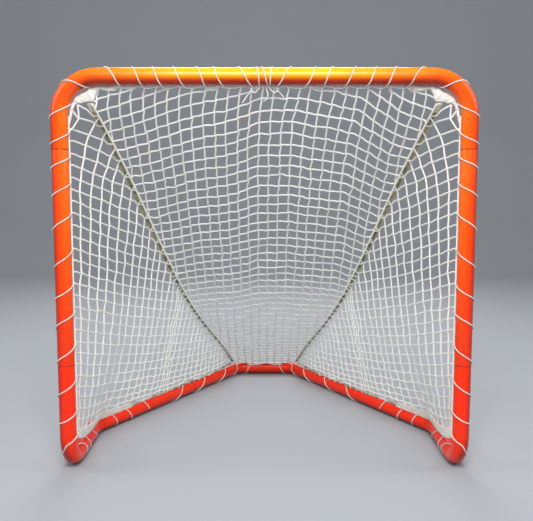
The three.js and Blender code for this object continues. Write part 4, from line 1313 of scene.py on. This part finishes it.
# ----------------------------------------
# The foot cloth: a crumpled white band sewn on the foot of each side net, round the foot bend and
# on to the rail, a little higher at the post than at its rear end.
cuff_front, cuff_rear = 0.017, 0.53
cuff_tall, cuff_short, cuff_flat = 0.035, 0.026, (0.03, 0.56)
cuff_under, cuff_off_net = 0.003, 0.0034
taper_size, taper_from, taper_length = 0.02, 0.93, 0.07


def cuff_place(along, share):
    low_y = line_y + cuff_front + (cuff_rear - cuff_front) * along
    low_z = border_z(low_y) - cuff_under
    tall = cuff_tall + (cuff_short - cuff_tall) * along - taper_size * max(0.0, along - taper_from) / taper_length
    fold = 0.0011 * math.sin(along * 88 + share * 2.2) + 0.0009 * math.sin(along * 143 - share * 4 + 0.7)
    ragged = 0.0022 * math.sin(along * 47 + 1) * share
    return side_place(low_y, low_z + tall * share + ragged) + (strand_radius + cuff_off_net + fold, 0, 0)


cuff = cloth_piece("left_foot_cloth", cloth_grid(190, 9, cuff_place), cloth_thickness, white_cloth)
sewn_on(cuff, "white_cloth", "foot_cuff", ["{}_side_mesh"], flat=cuff_flat)


# ----------------------------------------
# The rear binding: a pale cloth strip sewn over the rear edge of the back net, between the corners.
# It hangs over the top of the rear bar, a little less at its middle.
binding_half, binding_width = 0.083, 0.019
hollow_size, hollow_at, hollow_reach = 0.009, 0.1, 0.3
behind = np.array((0, rear_edge_y, rear_edge_z))
before = np.array((0, rear_edge_y - 0.03, back_height(0, rear_edge_y - 0.03)))
up_net = CentreLine.unit(before - behind)
off_net = np.cross((1, 0, 0), up_net)
bar_middle = np.array((0, line_y + goal_depth, base_centre))
over_bar = [(math.radians(48), 0.0288), (math.radians(36), 0.0318), (math.radians(25), 0.0345)]
fold_line = [bar_middle + np.array((0, -math.sin(tilt), math.cos(tilt))) * reach for tilt, reach in over_bar]
fold_line += [behind + up_net * up + off_net * (strand_radius + 0.002) for up in (0.004, 0.010)]
fold_line = np.array(fold_line)
fold_runs = runs_along(fold_line)


def binding_place(share_along, share):
    along = 2 * share_along - 1
    fold = 0.0008 * math.sin(along * 23 + share * 3) + 0.0005 * math.sin(along * 51 + 2)
    hollow = hollow_size * math.exp(-(((along - hollow_at) / hollow_reach) ** 2))
    run = hollow + (fold_runs[-1] - hollow) * share
    return table_at(fold_runs, fold_line, run) + off_net * (fold + seat_gap) + (along * binding_half, 0, 0)


binding = cloth_piece("rear_binding_cloth", cloth_grid(70, 6, binding_place), 0.002, white_cloth)
settled(binding, "white_cloth", "rear_binding")


# ----------------------------------------
# The lacing: braided white cord wound round the tube and the net's edge cord. One length goes down
# each post and on to the rail, one round each half of the rear, and one along each half of the bar.
lace_radius = 0.0019
steps_a_turn = 32


def wound(line, loops, hand, angle_at, lead, tail):
    """The places of a cord wound round a tube. The loops pair a distance along it with a count of turns."""
    (first, first_turn), (second, _) = loops[:2]
    (previous, _), (last, last_turn) = loops[-2:]
    before = (first - (second - first) * lead, first_turn - lead)
    after = (last + (last - previous) * tail, last_turn + tail)
    distances, turns = zip(before, *loops, after)
    close = tube_radius + lace_radius
    over = edge_reach + strand_radius + lace_radius
    lift = math.acos(close / over)
    places = []
    for turn in np.arange(turns[0], turns[-1], 1 / steps_a_turn):
        distance = np.interp(turn, turns, distances)
        angle = hand * 2 * math.pi * turn
        off = abs((angle - angle_at(distance) + math.pi) % (2 * math.pi) - math.pi)
        place = line.beside(distance, close / math.cos(max(0.0, lift - off)), angle)
        place[2] = max(place[2], lace_radius)
        if line is base_line and distance < 0:  # over the post's top, where the tube bends inwards
            place[0] += top_bend - math.sqrt(top_bend**2 - distance**2)
        places.append(place)
    return places


def bar_angle(_):
    """Where round the bar the net's edge lies, as wound asks for it."""
    return math.pi - bar_edge_angle


def between(begin, end, shares):
    return [begin + (end - begin) * share for share in shares]


opening_height, opening_half = bar_height - solid_tube_radius, post_x - solid_tube_radius
post_heights = [0.934, 0.865, 0.807, 0.739, 0.659, 0.561, 0.476, 0.407, 0.316, 0.225, 0.145, 0.085]
post_loops = [(leg_end - share * opening_height, i + 0.25) for i, share in enumerate(post_heights)]
base_places = between(foot_bend["end"], base_bend["begin"], (0.132, 0.303, 0.61))
base_places += between(base_bend["end"], rear_bend["begin"], (0.069, 0.155, 0.27))
post_loops += [(place, i + len(post_heights) - 0.125) for i, place in enumerate(base_places)]
rear_places = between(base_bend["end"], rear_bend["begin"], (0.54, 0.717, 0.9, 1.01))
rear_places.append(base_line.length / 2 - rear_half / 2)
rear_loops = [(place, i + 0.125) for i, place in enumerate(rear_places)]
bar_bend, bar_middle_run = bar_line.bends()[0], bar_line.length / 2
bar_places = between(bar_bend["begin"], bar_bend["end"], (0.63,))
bar_shares = (0.755, 0.638, 0.543, 0.435, 0.317, 0.241, 0.1)
bar_places += [bar_middle_run - share * opening_half for share in bar_shares]
bar_loops = [(place, i) for i, place in enumerate(bar_places)]
# The last turns before the middle of the bar, with the turns in between them that make them slant or stand
bar_loops += [(bar_middle_run - 0.038, 7.25), (bar_middle_run - 0.025, 7.75), (bar_middle_run - 0.03 * opening_half, 8)]
middle_loops = bar_loops + [(bar_middle_run + x, turn) for x, turn in ((-0.0155, 8.25), (-0.0095, 8.75), (0.012, 9.25))]


def lace_finish():
    """Braided cord: crossing lays that shine a little, painted shade in the grooves between them, greyed where it rubs
    and pinked as a painted reflection of the paint beside it.
    """
    made = Finish("braided_lace")
    # Grime and painted reflection: grey patches from rubbing, pinked for the orange paint's reflected light.
    grime_and_orange_reflection = made.noise(0.02, 3.0)
    skin = made.mix(grime_and_orange_reflection.over(0.45, 0.7) * 0.6, "f7f6f0", "cfc6b8")
    run, turn = made.grown("run") * (2 * math.pi / 0.005), made.grown("turn") * (2 * math.pi * 2)
    one, other = (run + turn).sine(), (run - turn).sine()
    braid = one.maths("MAXIMUM", one, other)
    # Painted shade: darker in the grooves between the braid's lays.
    skin = made.mix((1 - braid.over(0.0, 0.6)) * 0.3, skin, "a09a8c")
    return made.set(Base_Color=skin, Roughness=0.75, Normal=made.bump(braid, 0.0004, 0.8))


lace_recipe = cord_recipe("braided_lacing", False)
lace_cord = lace_finish()


def lace_piece(name, *cords):
    lines = Strands()
    for cord in cords:
        lines.cord(cord)
    return lace_recipe.cook(name, lines.guide(), Radius=lace_radius, Sides=8, Finish=lace_cord)


def loose(*corners, steps=9):
    """A soft curve through its corners, as a loose end hangs. Depths count from the goal line."""
    corners = [np.array(corner) + (0, line_y, 0) for corner in corners]
    ends = [2 * corners[0] - corners[1], *corners, 2 * corners[-1] - corners[-2]]
    places = []
    for a, b, c, d in zip(ends, ends[1:], ends[2:], ends[3:]):
        for t in np.arange(steps) / steps:
            eased = (2 * a - 5 * b + 4 * c - d) * t**2 / 2 + (3 * b - a - 3 * c + d) * t**3 / 2
            places.append(b + (c - a) * t / 2 + eased)
    return places + [corners[-1]]


post_cord = wound(base_line, post_loops, 1, edge_angle, 0.3, 0.2)
rear_cord = wound(base_line, rear_loops, -1, edge_angle, 0.5, 0.5)
both_sides(lace_piece("left_post_lace", post_cord), "lacing_cord", "post_lacing")
both_sides(lace_piece("left_rear_lace", rear_cord), "lacing_cord", "rear_lacing")

# Round the bar the left cord has one turn more, and each half has its own loose ends under the middle
left_cord, right_cord = (wound(bar_line, loops, 1, bar_angle, 0.4, 0.2) for loops in (middle_loops, bar_loops))
tie = loose(
    (-0.038, 0.003, 1.2375), (-0.0405, 0, 1.2245), (-0.0293, -0.003, 1.2165), (-0.0154, 0, 1.2318),
    (-0.014, 0.004, 1.2375),
)
left_end = loose((-0.0405, 0, 1.2245), (-0.047, -0.003, 1.215), (-0.057, -0.002, 1.2026), (-0.068, 0, 1.1855))
right_end = loose((0.0405, 0, 1.2245), (0.043, -0.003, 1.221), (0.0508, -0.002, 1.212), (0.06, 0, 1.2026))
hanging = loose(
    (0.003, 0.003, 1.2375), (0.0092, 0, 1.218), (0.0108, -0.002, 1.2087), (0.0046, -0.001, 1.195),
    (-0.003, 0, 1.1916),
)
mirrored = [[place * (-1, 1, 1) for place in cord] for cord in (right_cord, tie)]
left_lace = lace_piece("left_bar_lace", left_cord, tie, left_end, hanging)
right_lace = lace_piece("right_bar_lace", *mirrored, right_end)
settled(left_lace, "lacing_cord", "left_crossbar_lacing")
settled(right_lace, "lacing_cord", "right_crossbar_lacing")
